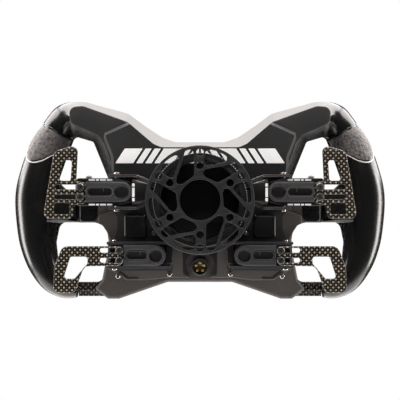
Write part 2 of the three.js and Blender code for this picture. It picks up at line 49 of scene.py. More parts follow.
scene = bpy.context.scene
scene.view_settings.view_transform = "Standard"


def link(obj):
    scene.collection.objects.link(obj)
    return obj


camera = link(bpy.data.objects.new("camera", bpy.data.cameras.new("camera")))
camera.data.lens = 98.5
camera.location = (0, -0.8, 0)
camera.rotation_euler = (math.radians(90), 0, 0)
scene.camera = camera


def softbox(name, place, towards, width, height, radiance, tint=(1, 1, 1)):
    lamp = bpy.data.lights.new(name, "AREA")
    lamp.shape = "RECTANGLE"
    lamp.size, lamp.size_y, lamp.energy = width, height, radiance * width * height * math.pi
    lamp.color = tint
    obj = link(bpy.data.objects.new(name, lamp))
    obj.location = place
    obj.rotation_euler = (Vector(towards) - Vector(place)).to_track_quat("-Z", "Y").to_euler()
    return obj


softbox("overhead_softbox", (0, 0.16, 0.95), (0, 0.1, 0), 1.8, 1.05, 9.5, (1, 0.955, 0.935))
softbox("rear_fill", (0, -1.5, 0.75), (0, 0, 0), 1.0, 0.5, 1.6)
softbox("front_fill", (0, 1.5, 0.75), (0, 0, 0), 1.2, 0.6, 2.2)
for side, flip in SIDES:
    softbox(f"{side}_strip", (-0.95 * flip, 0, -0.1), (0, 0.05, 0), 0.4, 0.7, 10, (1, 0.97, 0.93))
    softbox(f"{side}_corner_box", (-0.95 * flip, 0.25, 0.5), (0, 0.2, 0), 1.1, 0.6, 7, (1, 0.955, 0.935))

world = bpy.data.worlds.new("white_room")
scene.world = world
world.use_nodes = True
background = world.node_tree.nodes["Background"]
background.inputs["Color"].default_value = (1, 1, 1, 1)
seen = world.node_tree.nodes.new("ShaderNodeLightPath")
strength = world.node_tree.nodes.new("ShaderNodeMapRange")
strength.inputs["To Min"].default_value = 0.02
strength.inputs["To Max"].default_value = 1.0
world.node_tree.links.new(seen.outputs["Is Camera Ray"], strength.inputs["Value"])
world.node_tree.links.new(strength.outputs["Result"], background.inputs["Strength"])

FLOOR_Z, FLOOR_RADIUS = -0.45, 0.78
floor_mesh = bmesh.new()
bmesh.ops.create_circle(floor_mesh, cap_ends=True, segments=96, radius=FLOOR_RADIUS)
floor = link(bpy.data.objects.new("floor", bpy.data.meshes.new("floor")))
floor_mesh.to_mesh(floor.data)
floor_mesh.free()
floor.location.z = FLOOR_Z

# ------------------------------------------------------------------------------------ mounting disc
# The round aluminium disc that bolts to the wheelbase: milled with a swirl of pockets, drilled for six M5
# screws on each of two circles, chamfered and anodised black.

FLOAT, COLOUR = "NodeSocketFloat", "NodeSocketColor"


def group(name, ins, outs):
    tree = bpy.data.node_groups.new(name, "ShaderNodeTree")
    for label, kind, value in ins:
        socket = tree.interface.new_socket(label, in_out="INPUT", socket_type=kind)
        if value is not None:
            socket.default_value = value
    for label, kind in outs:
        tree.interface.new_socket(label, in_out="OUTPUT", socket_type=kind)
    return tree, tree.nodes.new("NodeGroupInput").outputs, tree.nodes.new("NodeGroupOutput").inputs


def add(tree, kind, links=None, **values):
    """A node with its own settings, and its inputs set or linked by name or number."""
    made = tree.nodes.new(kind)
    for key, value in values.items():
        setattr(made, key, value)
    for key, source in (links or {}).items():
        socket = made.inputs[key]
        if isinstance(source, bpy.types.NodeSocket):
            tree.links.new(source, socket)
        else:
            socket.default_value = source
    return made


def sums(tree, operation, *values):
    return add(tree, "ShaderNodeMath", dict(enumerate(values)), operation=operation).outputs[0]


def ramp(tree, value, low, high, to_low=0.0, to_high=1.0):
    ends = {"Value": value, "From Min": low, "From Max": high, "To Min": to_low, "To Max": to_high}
    return add(tree, "ShaderNodeMapRange", ends).outputs[0]


def mixed(tree, factor, first, second):
    return add(tree, "ShaderNodeMix", {0: factor, 6: first, 7: second}, data_type="RGBA").outputs[2]


def build_worn_surface_and_edge_highlight():
    """Fine grain, slow variation of colour and gloss, and lighter edges: rubbed wear, and where the edge
    colour is bright, a painted edge highlight.
    """
    tree, ins, outs = group(
        "worn_surface_and_edge_highlight",
        [("Color", COLOUR, None), ("Edge Color", COLOUR, None), ("Edge Amount", FLOAT, 0.3),
         ("Edge Width", FLOAT, 0.0004), ("Grain Size", FLOAT, 0.0005), ("Mottle", FLOAT, 0.15),
         ("Roughness", FLOAT, 0.5), ("Gloss Spread", FLOAT, 0.08)],
        [("Color", COLOUR), ("Roughness", FLOAT), ("Height", FLOAT)],
    )
    place = add(tree, "ShaderNodeTexCoord").outputs["Object"]
    scale = sums(tree, "DIVIDE", 1.0, ins["Grain Size"])
    grain = add(tree, "ShaderNodeTexNoise", {"Vector": place, "Scale": scale, "Detail": 3.0,
                                             "Roughness": 0.6}).outputs[0]
    slow = add(tree, "ShaderNodeTexNoise", {"Vector": place, "Scale": 38.0, "Detail": 4.0}).outputs[0]
    soft = add(tree, "ShaderNodeBevel", {"Radius": ins["Edge Width"]}, samples=6).outputs[0]
    hard = add(tree, "ShaderNodeNewGeometry").outputs["Normal"]
    facing = add(tree, "ShaderNodeVectorMath", {0: soft, 1: hard}, operation="DOT_PRODUCT").outputs["Value"]
    # This mask lightens rounded edges: rubbed wear, and where the edge colour is bright, a painted highlight.
    worn = sums(tree, "MULTIPLY", ramp(tree, facing, 0.995, 0.8), ins["Edge Amount"])
    rubbed_and_highlit_edges = sums(tree, "MULTIPLY", worn, sums(tree, "ADD", slow, 0.5))
    patchy = sums(tree, "ADD", sums(tree, "MULTIPLY", slow, 0.6), sums(tree, "MULTIPLY", grain, 0.4))
    tone = ramp(tree, patchy, 0.35, 0.65, sums(tree, "SUBTRACT", 1.0, ins["Mottle"]),
                sums(tree, "ADD", 1.0, ins["Mottle"]))
    toned = add(tree, "ShaderNodeVectorMath", {0: ins["Color"], "Scale": tone}, operation="SCALE").outputs[0]
    spread = sums(tree, "MULTIPLY", sums(tree, "SUBTRACT", slow, 0.5), ins["Gloss Spread"])
    tree.links.new(mixed(tree, rubbed_and_highlit_edges, toned, ins["Edge Color"]), outs["Color"])
    tree.links.new(sums(tree, "ADD", ins["Roughness"], spread), outs["Roughness"])
    tree.links.new(grain, outs["Height"])
    return tree


worn_surface_and_edge_highlight = build_worn_surface_and_edge_highlight()


def new_material(name):
    made = bpy.data.materials.new(name)
    made.use_nodes = True
    return made, made.node_tree, made.node_tree.nodes["Principled BSDF"]


def worn_material(name, colour, roughness, grain=0.0005, depth=0.00002, edge=None, edge_amount=0.3,
                  edge_width=0.0004, mottle=0.12, gloss_spread=0.1, **sockets):
    """A Principled material with the worn surface's colour, gloss and bump. Its lighter edges are rubbed wear
    and, with a bright edge colour, a painted highlight.
    """
    made, tree, shader = new_material(name)
    worn = add(tree, "ShaderNodeGroup", node_tree=worn_surface_and_edge_highlight)
    values = {"Color": (*colour, 1), "Edge Color": (*(edge or [c * 3 + 0.02 for c in colour]), 1),
              "Edge Amount": edge_amount, "Edge Width": edge_width, "Grain Size": grain, "Mottle": mottle,
              "Roughness": roughness, "Gloss Spread": gloss_spread}
    for label, value in values.items():
        worn.inputs[label].default_value = value
    bump = add(tree, "ShaderNodeBump", {"Height": worn.outputs["Height"], "Strength": 1.0, "Distance": depth})
    tree.links.new(worn.outputs["Color"], shader.inputs["Base Color"])
    tree.links.new(worn.outputs["Roughness"], shader.inputs["Roughness"])
    tree.links.new(bump.outputs[0], shader.inputs["Normal"])
    for label, value in sockets.items():
        shader.inputs[label.replace("_", " ").title()].default_value = value
    return made


def rounded(corners, steps=6):
    """The points, in metres, of an outline with corners (x, z, radius) in millimetres."""
    points = []
    for i, (x, z, *rest) in enumerate(corners):
        corner = Vector((x, z))
        before = Vector(corners[i - 1][:2]) - corner
        after = Vector(corners[(i + 1) % len(corners)][:2]) - corner
        half = before.angle(after) / 2
        radius = min(rest[0] if rest else 0, 0.49 * min(before.length, after.length) * math.tan(half))
        if radius < 0.05:
            points.append(corner * MM)
            continue
        middle = corner + (before.normalized() + after.normalized()).normalized() * radius / math.sin(half)
        start = corner + before.normalized() * radius / math.tan(half) - middle
        end = corner + after.normalized() * radius / math.tan(half) - middle
        turn = start.angle_signed(end)
        for k in range(steps + 1):
            a = -turn * k / steps
            spun = Vector((start.x * math.cos(a) - start.y * math.sin(a),
                           start.x * math.sin(a) + start.y * math.cos(a)))
            points.append((middle + spun) * MM)
    return points


def circle(x, z, radius, steps=32):
    return [Vector((x + radius * math.cos(math.tau * k / steps),
                    z + radius * math.sin(math.tau * k / steps))) * MM for k in range(steps)]


def mirrored(points):
    return [Vector((-x, z)) for x, z in points][::-1]


def both_halves(corners):
    """The left half of an outline, as corners, followed by its mirror image."""
    return [*corners, *[(-c[0], *c[1:]) for c in corners if c[0]][::-1]]


def evaluated_copy(obj):
    bpy.context.view_layer.update()
    return bpy.data.meshes.new_from_object(obj.evaluated_get(bpy.context.evaluated_depsgraph_get()))


def evaluated(obj):
    mesh = evaluated_copy(obj)
    bpy.data.objects.remove(obj)
    return mesh


def plate(outlines, rear, front, edge=0.3, rings=2):
    """Outlines of the XZ plane, holes among them, as a plate with its edges rounded by edge (millimetres)."""
    curve = bpy.data.curves.new("outline", "CURVE")
    curve.dimensions, curve.fill_mode = "2D", "BOTH"
    curve.extrude = ((front - rear) / 2 - edge) * MM
    curve.bevel_depth, curve.bevel_resolution, curve.offset = edge * MM, rings, -edge * MM
    for outline in outlines:
        spline = curve.splines.new("POLY")
        spline.points.add(len(outline) - 1)
        for point, (x, z) in zip(spline.points, outline):
            point.co = (x, z, 0, 1)
        spline.use_cyclic_u = True
    mesh = evaluated(link(bpy.data.objects.new("outline", curve)))
    mesh.transform(Matrix.Translation((0, (rear + front) / 2 * MM, 0)) @ Matrix.Rotation(math.radians(90),
                                                                                         4, "X"))
    return mesh


def piece(name, mesh, material, body, replaces=(), smooth=35, flip=1):
    """A mesh in the frame of the CAD model as a named piece that rides on a body."""
    obj = link(bpy.data.objects.new(name, mesh))
    work = bmesh.new()
    work.from_mesh(mesh)
    if flip < 0:
        bmesh.ops.scale(work, vec=(-1, 1, 1), verts=work.verts)
    bmesh.ops.remove_doubles(work, verts=work.verts, dist=2e-6)
    bmesh.ops.recalc_face_normals(work, faces=work.faces)
    work.to_mesh(mesh)
    work.free()
    mesh.shade_smooth()
    mesh.set_sharp_from_angle(angle=math.radians(smooth))
    mesh.materials.clear()
    mesh.materials.append(material)
    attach(obj, body)
    if replaces:
        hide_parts(*replaces)
    return obj


def pair(name, mesh, material, body="wheel", replaces=(), smooth=35):
    """A left-hand piece and its mirror image. {side} in the body's and the nodes' names is filled in."""
    for side, flip in SIDES:
        nodes = [node.format(side=side) for node in replaces]
        piece(f"{side}_{name}", mesh.copy(), material, body.format(side=side), nodes, smooth, flip)


def polar(radius, angle):
    return radius * math.cos(math.radians(angle)), radius * math.sin(math.radians(angle))


# The pale edge colour is partly rubbed wear and partly a painted highlight along the chamfers.
black_anodising = worn_material("black_anodising", (0.024, 0.0245, 0.026), 0.4, grain=0.00025, depth=0.000008,
                                edge=(0.15, 0.15, 0.16), edge_amount=0.75, metallic=0.3)

SPOKES = [30 + 60 * k for k in range(6)]
DISC_REAR, DISC_FRONT, DISC_RADIUS, BORE_RADIUS = 0, 6, 40, 15
LARGE_POCKET = [(18.2, 14, 2), (17.2, 47, 2), (20.6, 56, 2.5), (23.2, 49, 2), (29.8, 26.6, 4),
                (37.9, 17, 2.5), (37.9, 8.5, 2.5), (33, 7.5, 3)]
SMALL_POCKET = [(25.2, 49, 1.5), (28.6, 54, 2), (36.2, 53.6, 2.5), (37.9, 47), (38, 41), (37.9, 34),
                (37.6, 28, 2.5), (34.4, 25.4, 2.5), (31, 31, 5)]
disc_outlines = [circle(0, 0, DISC_RADIUS, 128), circle(0, 0, BORE_RADIUS, 96)]
for spoke in SPOKES:
    for pocket in (LARGE_POCKET, SMALL_POCKET):
        disc_outlines.append(rounded([(*polar(r, spoke + a), *rest) for r, a, *rest in pocket], 8))
    disc_outlines += [circle(*polar(r, spoke), 2.75, 28) for r in (25.4, 35)]
piece("mounting_disc_milled", plate(disc_outlines, DISC_REAR, DISC_FRONT, 0.45, 1), black_anodising, "wheel",
      ["mounting_disc"])

# ------------------------------------------------------------------------------------ hub cup
# The aluminium cup between the disc and the front plate, screwed down through six lobes inside its wall. A
# collar with fine cooling ribs is turned on its outside, and six cap screws hold it to the disc.


def dress(name, material, width=0.25):
    """A CAD node keeps its shape and gets its finish and fine rounded edges."""
    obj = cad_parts[name]
    obj.data.materials.clear()
    obj.data.materials.append(material)
    obj.data.shade_smooth()
    weld = obj.modifiers.new("weld", "WELD")
    weld.merge_threshold = 2e-6
    flats = obj.modifiers.new("flats", "DECIMATE")
    flats.decimate_type, flats.angle_limit = "DISSOLVE", math.radians(1)
    edges = obj.modifiers.new("edges", "BEVEL")
    edges.width, edges.segments, edges.limit_method = width * MM, 2, "ANGLE"
    edges.angle_limit, edges.harden_normals = math.radians(40), True
    return obj


AXES = {"Y": Matrix(), "Z": Matrix.Rotation(math.radians(90), 4, "X"),
        "X": Matrix.Rotation(math.radians(-90), 4, "Z")}


def turned(profile, centre=(0, 0, 0), axis="Y", steps=32, six_sided=(), ribs=0, rib_depth=0.0):
    """A lathe piece from (radius, height) pairs in millimetres that start and end at radius 0, set up at
    centre. Rows whose number is in six_sided follow a hexagon, and ribs notch the rows between the first and
    last two."""
    work = bmesh.new()
    rows = []
    for i, (radius, height) in enumerate(profile):
        row = []
        for k in range(steps if radius else 1):
            a = math.tau * k / steps
            r = radius
            if i in six_sided:
                r *= math.cos(math.pi / 6) / math.cos((a % (math.pi / 3)) - math.pi / 6)
            if ribs and 1 < i < len(profile) - 2:
                r -= rib_depth * (0.5 + 0.5 * math.cos(ribs * a))
            row.append(work.verts.new((r * math.cos(a) * MM, height * MM, r * math.sin(a) * MM)))
        rows.append(row)
    for low, high in zip(rows, rows[1:]):
        for k in range(steps):
            corners = [low[k % len(low)], low[(k + 1) % len(low)], high[(k + 1) % len(high)],
                       high[k % len(high)]]
            work.faces.new(list(dict.fromkeys(corners)))
    mesh = bpy.data.meshes.new("turned")
    work.to_mesh(mesh)
    work.free()
    mesh.transform(Matrix.Translation(Vector(centre) * MM) @ AXES[axis])
    return mesh


def together(*meshes):
    """Several meshes as one."""
    work = bmesh.new()
    for mesh in meshes:
        work.from_mesh(mesh)
    whole = bpy.data.meshes.new("together")
    work.to_mesh(whole)
    work.free()
    return whole


def cap_screw(radius, height, socket=0.5):
    """The profile of a socket head, from its seat at height 0 outwards to -height, and which of its rows are
    six-sided."""
    hole = radius * socket
    return [(0, 0), (radius, 0), (radius, -height * 0.75), (radius * 0.86, -height), (hole, -height),
            (hole, -height * 0.45), (0, -height * 0.4)], (4, 5)


# The near-white edge colour paints glints round the rims of the screw heads: a painted highlight.
black_steel = worn_material("blackened_steel_painted_glints", (0.085, 0.083, 0.082), 0.3, edge=(0.8, 0.77, 0.74),
                            edge_amount=0.9, edge_width=0.0002, metallic=0.8)
dress("hub_cup", black_anodising)
HUB_RADIUS = 31.5
collar = [(HUB_RADIUS, 9), (HUB_RADIUS + 3.2, 9), (HUB_RADIUS + 4, 9.6), (HUB_RADIUS + 4, 20),
          (HUB_RADIUS + 3.2, 20.6), (HUB_RADIUS, 20.6), (HUB_RADIUS, 9)]
piece("hub_ribbed_collar", turned(collar, steps=432, ribs=108, rib_depth=0.9), black_anodising, "wheel",
      smooth=25)
LOBES = [polar(27.5, 16 + 60 * k) for k in range(6)]
head, sixes = cap_screw(2.6, 2.4)
hub_screws = [turned(head, (x, 8.6, z), six_sided=sixes) for x, z in LOBES]
piece("hub_screws", together(*hub_screws), black_steel, "wheel")

# ------------------------------------------------------------------------------------ lower casing
# The lower half of the body, sintered in grey nylon with a rolled rear edge. It is screwed to the front
# plate and carries the lower cover and the four paddle units. A satin black cover lies over each of its arms.


def distances(points, outline):
    """How far each point is from the nearest edge of an outline."""
    starts = np.array(outline)
    along = np.roll(starts, -1, axis=0) - starts
    offset = points[:, None, :] - starts[None]
    share = np.clip((offset * along).sum(2) / (along ** 2).sum(1), 0, 1)
    return np.sqrt(((offset - share[..., None] * along) ** 2).sum(2)).min(1)


def rolled_block(outline, rear, front, roll, steps=8, spacing=1.6):
    """An outline of the XZ plane as a block whose rear edge rolls over in a quarter circle of radius roll."""
    rim = []
    for a, b in zip(outline, outline[1:] + outline[:1]):
        cuts = max(1, math.ceil((b - a).length / (spacing * MM)))
        rim += [tuple(a.lerp(b, k / cuts)) for k in range(cuts)]
    rim = np.array(rim)
    along = np.roll(rim, -1, axis=0) - np.roll(rim, 1, axis=0)
    inward = np.stack([-along[:, 1], along[:, 0]], 1) / np.linalg.norm(along, axis=1)[:, None]
    points = [tuple(p) for p in rim]
    taken = set()
    for k in range(1, steps + 1):
        depth = roll * MM * (1 - math.cos(math.pi / 2 * k / steps))
        ring = rim + inward * depth
        for p, far in zip(ring, distances(ring, rim)):
            cell = (k, round(p[0] / 0.0006), round(p[1] / 0.0006))
            if far > 0.96 * depth and cell not in taken:
                taken.add(cell)
                points.append(tuple(p))
    edges = [(i, (i + 1) % len(rim)) for i in range(len(rim))]
    found, _, faces, *_ = delaunay_2d_cdt([Vector(p) for p in points], edges, [], 1, 1e-7)
    short = roll * MM - np.minimum(distances(np.array([tuple(v) for v in found]), rim), roll * MM)
    heights = (rear + roll) * MM - np.sqrt((roll * MM) ** 2 - short ** 2)
    work = bmesh.new()
    verts = [work.verts.new((v.x, height, v.y)) for v, height in zip(found, heights)]
    for face in faces:
        work.faces.new([verts[i] for i in face])
    side = bmesh.ops.extrude_edge_only(work, edges=[e for e in work.edges if len(e.link_faces) == 1])["geom"]
    for vert in [g for g in side if isinstance(g, bmesh.types.BMVert)]:
        vert.co.y = front * MM
    bmesh.ops.triangle_fill(work, edges=[e for e in work.edges if len(e.link_faces) == 1], use_beauty=True)
    mesh = bpy.data.meshes.new("rolled")
    work.to_mesh(mesh)
    work.free()
    return mesh


def outward(mesh):
    """The mesh with its doubled points joined and its faces turned outward."""
    work = bmesh.new()
    work.from_mesh(mesh)
    bmesh.ops.remove_doubles(work, verts=work.verts, dist=1e-7)
    bmesh.ops.recalc_face_normals(work, faces=work.faces)
    work.to_mesh(mesh)
    work.free()
    return mesh


def carved(mesh, *tools, operation="DIFFERENCE"):
    """A closed mesh less others, or what it shares with them."""
    obj = link(bpy.data.objects.new("carved", outward(mesh)))
    for tool in tools:
        outward(tool)
        other = link(bpy.data.objects.new("tool", tool))
        cut = obj.modifiers.new("cut", "BOOLEAN")
        cut.object, cut.operation, cut.solver = other, operation, "EXACT"
        obj.data = evaluated_copy(obj)
        obj.modifiers.clear()
        bpy.data.objects.remove(other)
    mesh = outward(obj.data)
    bpy.data.objects.remove(obj)
    return mesh


def rod(radius, rear, front, x=0, z=0, steps=64):
    return plate([circle(x, z, radius, steps)], rear, front, 0, 0)


sintered_nylon = worn_material("sintered_grey_nylon", (0.047, 0.0415, 0.038), 0.66, grain=0.00035,
                               depth=0.00005, edge=(0.15, 0.138, 0.128), edge_amount=0.5, mottle=0.2)

COVER_REAR, CASING_REAR, PLATE_REAR, PLATE_FRONT = 27, 31, 56, 60
SPLIT = 8  # height of the joint between the upper and the lower half
LOWER_CASING = [(-91.4, SPLIT - 0.15), (-91.4, -17.2), (-80.4, -17.2, 4), (-74, -18.7, 5), (-70.8, -23.2, 5),
                (-69.7, -30.5, 4), (-69.6, -36, 6), (-74.6, -61, 2), (-80, -67.6, 1.2), (-70, -75.2, 2),
                (-61.6, -75.2, 3), (-24.4, -62.4, 8)]
ARM_COVER = [(-91.4, SPLIT - 0.5), (-91.4, -16.9), (-79.5, -16.9, 2), (-77.2, -12, 3), (-77.2, SPLIT - 0.5)]
hub_hole = rod(HUB_RADIUS + 0.3, 20, 60, steps=96)
lower_block = rolled_block(rounded(both_halves(LOWER_CASING), 8), CASING_REAR, PLATE_REAR - 0.3, 2.6)
piece("lower_casing_sintered", carved(lower_block, hub_hole), sintered_nylon, "wheel",
      ["lower_casing"])

satin_black = worn_material("satin_black_shell", (0.0035, 0.0035, 0.0037), 0.24, grain=0.0012, depth=0.000006,
                            edge_amount=0.2, coat_weight=0.4, coat_roughness=0.2)
pair("arm_cover", rolled_block(rounded(ARM_COVER), CASING_REAR - 0.2, CASING_REAR + 3, 0.8, 3, 3),
     satin_black, "wheel")

# ------------------------------------------------------------------------------------ lower cover
# The flat grey cover over the lower casing, held by small silver screws. Thin black sheets lie on it as
# painted shade: one in the pocket where each pair of paddle units sits, a darker one round the connector's
# recess, and a line along a groove near the cover's lower edge.

matt_black = worn_material("matt_black_shade_and_insert", (0.0045, 0.0045, 0.005), 0.5, grain=0.0004, depth=0.00003,
                           edge=(0.05, 0.05, 0.05), edge_amount=0.7, mottle=0.2)
blue_black = worn_material("blue_black_shade_and_strip", (0.008, 0.008, 0.0105), 0.42, grain=0.0004, depth=0.00002,
                           mottle=0.2)
steel = worn_material("turned_steel", (0.6, 0.58, 0.56), 0.26, grain=0.0003, depth=0.000006, mottle=0.08,
                      edge_width=0.0002, metallic=1.0)

LOWER_COVER = [(-66, SPLIT - 1), (-66, -8), (-77, -12, 3), (-77, -17.8, 1), (-73.8, -19.1, 4),
               (-70.9, -23.4, 4), (-67.4, -30.6, 3), (-69.6, -51.8, 1), (-61.4, -56.6), (-55.6, -60.6),
               (-40, -60.6, 3), (-25, -58.8)]
lower_cover = rolled_block(rounded(both_halves(LOWER_COVER)), COVER_REAR, CASING_REAR - 0.3, 0.6, 3, 3)
SOCKET_Z, SOCKET_RECESS = -50.6, 11.4
lower_cover = carved(lower_cover, hub_hole, rod(SOCKET_RECESS, 20, 60, 0, SOCKET_Z))
piece("lower_cover_sintered", lower_cover, sintered_nylon, "wheel", ["lower_cover"])
# A thin black sheet where each pair of paddle units sits: painted shade of their pocket.
PADDLE_SHADE_OUTLINE = [(-20.5, -24), (-20.5, SPLIT - 0.6), (-65.4, SPLIT - 0.6), (-65.4, -9, 2), (-62.4, -13, 4),
        (-62.4, -22, 4), (-65.6, -31), (-68, -50, 2), (-63.6, -53.6, 1), (-20.5, -53.6, 2.5)]
SHADE_SHEET_REAR = COVER_REAR - 0.24
paddle_shade_sheet = carved(plate([rounded(PADDLE_SHADE_OUTLINE, 5)], SHADE_SHEET_REAR, COVER_REAR - 0.02, 0.05, 1), hub_hole)
pair("paddle_pocket_painted_shade", paddle_shade_sheet, matt_black, "wheel")
# A darker sheet round the connector: painted shade of its recess.
MIDDLE_SHADE_OUTLINE = [(12.8, -36), (-12.8, -36), (-12.8, -57.4, 2), (12.8, -57.4, 2)]
middle_recess_painted_shade = plate([rounded(MIDDLE_SHADE_OUTLINE, 4)], SHADE_SHEET_REAR, COVER_REAR - 0.02, 0.05, 1)
middle_recess_painted_shade = carved(middle_recess_painted_shade, rod(SOCKET_RECESS + 0.1, 20, 60, 0, SOCKET_Z))
piece("middle_recess_painted_shade", middle_recess_painted_shade, blue_black, "wheel")

# A thin black sheet along a seam near the cover's lower edge: painted shadow of the groove there.
GROOVE_SHADE_LINE = [(-61.6, -54.4), (-55.2, -59.9), (-46.5, -59.6, 0.8), (-46.5, -57.9, 0.8), (-54.2, -58.2),
          (-60, -53.2)]
pair("cover_groove_painted_shadow", plate([rounded(GROOVE_SHADE_LINE)], SHADE_SHEET_REAR + 0.1, COVER_REAR - 0.02, 0, 0), matt_black, "wheel")

head, sixes = cap_screw(1.7, 1.1)
COVER_SCREWS = [(-35, -25.4), (-62, -57.6), (-23, -56)]
cover_screws = together(*[turned(head, (x, COVER_REAR - 0.2, z), steps=24, six_sided=sixes) for x,
                          z in COVER_SCREWS])
pair("cover_screws", cover_screws, steel, "wheel")

# ------------------------------------------------------------------------------------ upper casing
# The upper half of the body: an arch from one grip to the other, moulded in satin black as one thick
# rounded tube. Its ends are cut square across the grips' lines and butt against them.

TOP_EDGE = [(-19, 44.5, 14), (-29, 48, 20), (-43, 57.4, 60), (-55, 66.4, 14), (-89, 75.6, 20),
            (-109.5, 75.6, 22)]
UPPER_CASING = [*TOP_EDGE, (-121.5, 59.2), (-131, 44), (-102.6, 38), (-99, 47.2, 1.5), (-96.6, 49.5, 3),
                (-82.2, 45.2, 5), (-71, 17.5, 12), (-69.4, SPLIT + 0.15, 1), (-69.4, -6)]
SEAM = (-109.75, 53.3)  # middle of the left seam
SEAM_TILT = 28.6
ROLL = 11.5
SUNK = 5.5  # how much deeper the rolled surface lies at the seams, where it meets the round grip


def block(x0, x1, y0, y1, z0, z1):
    return plate([[Vector(p) * MM for p in ((x0, z0), (x1, z0), (x1, z1), (x0, z1))]], y0, y1, 0, 0)


beyond_seam = block(-19, 15.4, 20, 70, -30, 0)
beyond_seam.transform(Matrix.Translation((SEAM[0] * MM, 0, SEAM[1] * MM))
                      @ Matrix.Rotation(math.radians(SEAM_TILT), 4, "Y"))
past_other = beyond_seam.copy()
past_other.transform(Matrix.Scale(-1, 4, (1, 0, 0)))
past_other.flip_normals()
arch = rolled_block(rounded(both_halves(UPPER_CASING), 8), CASING_REAR, PLATE_REAR - 0.3, ROLL, 12, 1.5)
for vert in arch.vertices:
    height = vert.co.y / MM - CASING_REAR
    if height > ROLL + 0.01:
        continue
    flat = min(1, max(0, (108 - abs(vert.co.x) / MM) / 12))
    near = min(1, max(0, (abs(vert.co.x) / MM - 90) / 24))
    # slope is the same point's height on a flat chamfer
    slope = ROLL * math.sqrt(max(0, 1 - (1 - height / ROLL) ** 2))
    height += (slope - height) * flat * flat * (3 - 2 * flat) + SUNK * near * near * (3 - 2 * near)
    vert.co.y = (CASING_REAR + height) * MM
arch = carved(arch, beyond_seam, past_other, hub_hole, block(-90, 90, 20, 70, -20, SPLIT + 0.15))
piece("upper_casing_moulded", arch, satin_black, "wheel", ["upper_casing"], smooth=30)

# ------------------------------------------------------------------------------------ upper cover
# The matt black cover over the arch, with a raised middle whose edges are chamfered. Two bands of slanted
# white bars are printed across the middle, and the strip under them is smoother.

# The pale edge colour is a painted highlight along the cover's chamfers, partly rubbed wear.
cover_black = worn_material("matt_black_cover", (0.012, 0.012, 0.0125), 0.7, grain=0.0007, depth=0.00009,
                            edge=(0.11, 0.105, 0.1), edge_amount=0.6, mottle=0.22)
# The print also glows faintly: painted light that keeps it white in shade.
print_white_with_glow = worn_material("white_print_painted_glow", (0.86, 0.86, 0.85), 0.45, grain=0.0006, depth=0.00001, mottle=0.03,
                            edge_amount=0.0, emission_strength=0.25, emission_color=(1, 1, 1, 1))

ARM_REAR, COVER_FRONT, CHAMFER = 29.3, 39, 2.2
UPPER_COVER = [(-29.5, 40, 10), (-35.4, 42.6, 6), (-55.1, 59.4, 5), (-88.6, 71.4, 10), (-99.6, 70.6, 5.5),
               (-98.6, 58.4, 5.5), (-77.6, 49.4, 8), (-73, 43, 6), (-66.4, 24, 12), (-65.5, SPLIT + 1)]
RAISED = [(-20, 60), (-46, 63), (-72.6, 50.8, 0.8), (-73, 46.4, 0.8), (-67.4, 32), (-66.6, -4)]


def chamfered(outline, rear, front, chamfer):
    """An outline's block with a flat chamfer round its rear edge."""
    mesh = plate([outline], rear, 2 * front - rear, chamfer, 0)
    return carved(mesh, block(-140, 140, front, 2 * front, -100, 100))


cover_outline = rounded(both_halves(UPPER_COVER), 6)
arms = rolled_block(cover_outline, ARM_REAR, COVER_FRONT, 0.7, 3, 4)
middle = chamfered(rounded(both_halves(RAISED), 4), COVER_REAR, COVER_FRONT - 0.1, CHAMFER)
inside_cover = plate([[point * 0.998 for point in cover_outline]], COVER_REAR - 3, 50, 0, 0)
middle = carved(middle, inside_cover, operation="INTERSECT")
upper_cover = carved(together(arms), middle, operation="UNION")
piece("upper_cover_moulded", carved(upper_cover, hub_hole), cover_black, "wheel",
      ["upper_cover"])

STRIP = [(-64.8, 9.4), (-31.8, 9.4), (-24, 20.4), (-24, 27), (-64.6, 27)]
strip = carved(plate([rounded(STRIP)], COVER_REAR - 0.12, COVER_REAR + 0.1, 0, 0),
               rod(HUB_RADIUS + 4.6, 20, 60))
pair("cover_smooth_strip", strip, blue_black, "wheel")

BAND_LOW, BAND_HIGH, LEAN = 27.8, 38.9, 7.2
BARS = [(-64, -50.5), (-48.3, -43.6), (-41.4, -36.7), (-34.5, -20.5), (-18.3, -13.6), (-11.4, -1.6)]
bars = []
for low, high in BARS:
    corners = [(low, BAND_LOW, 0.3), (high, BAND_LOW, 0.3), (high + LEAN, BAND_HIGH, 0.3),
               (low + LEAN, BAND_HIGH, 0.3)]
    bars.append(plate([rounded(corners, 3)], COVER_REAR - 0.14, COVER_REAR + 0.05, 0.03, 0))
keep = block(-70, -0.8, 20, 30, 20, 60)
pair("printed_bars", carved(together(*bars), keep, operation="INTERSECT"), print_white_with_glow, "wheel")

# ------------------------------------------------------------------------------------ sensor boxes
# Two smooth black boxes on the lower cover, one between each shifter and clutch, with the paddles'
# sensors in them.

gloss_black = worn_material("smooth_black", (0.006, 0.006, 0.007), 0.28, grain=0.0006, depth=0.000008,
                            edge_amount=0.3)
for side, _ in SIDES:
    dress(f"{side}_sensor_box", gloss_black, 0.5)

# ------------------------------------------------------------------------------------ connector
# The round connector low in the middle: a black shell in a round recess with a flat bottom, an insert,
# and five gold-plated pins.

gold = worn_material("gold_plating", (1.0, 0.68, 0.2), 0.34, grain=0.0002, depth=0.000004, mottle=0.1,
                     metallic=1.0)
SHELL_RADIUS, SOCKET_BORE = 6.6, 5.3
shell = [(SOCKET_BORE, 28), (SOCKET_BORE + 0.25, 27.5), (SHELL_RADIUS - 0.4, 27.5), (SHELL_RADIUS, 27.9),
         (SHELL_RADIUS, 34), (SHELL_RADIUS + 2, 34.4), (SHELL_RADIUS + 2, 38), (SOCKET_BORE, 38),
         (SOCKET_BORE, 28)]


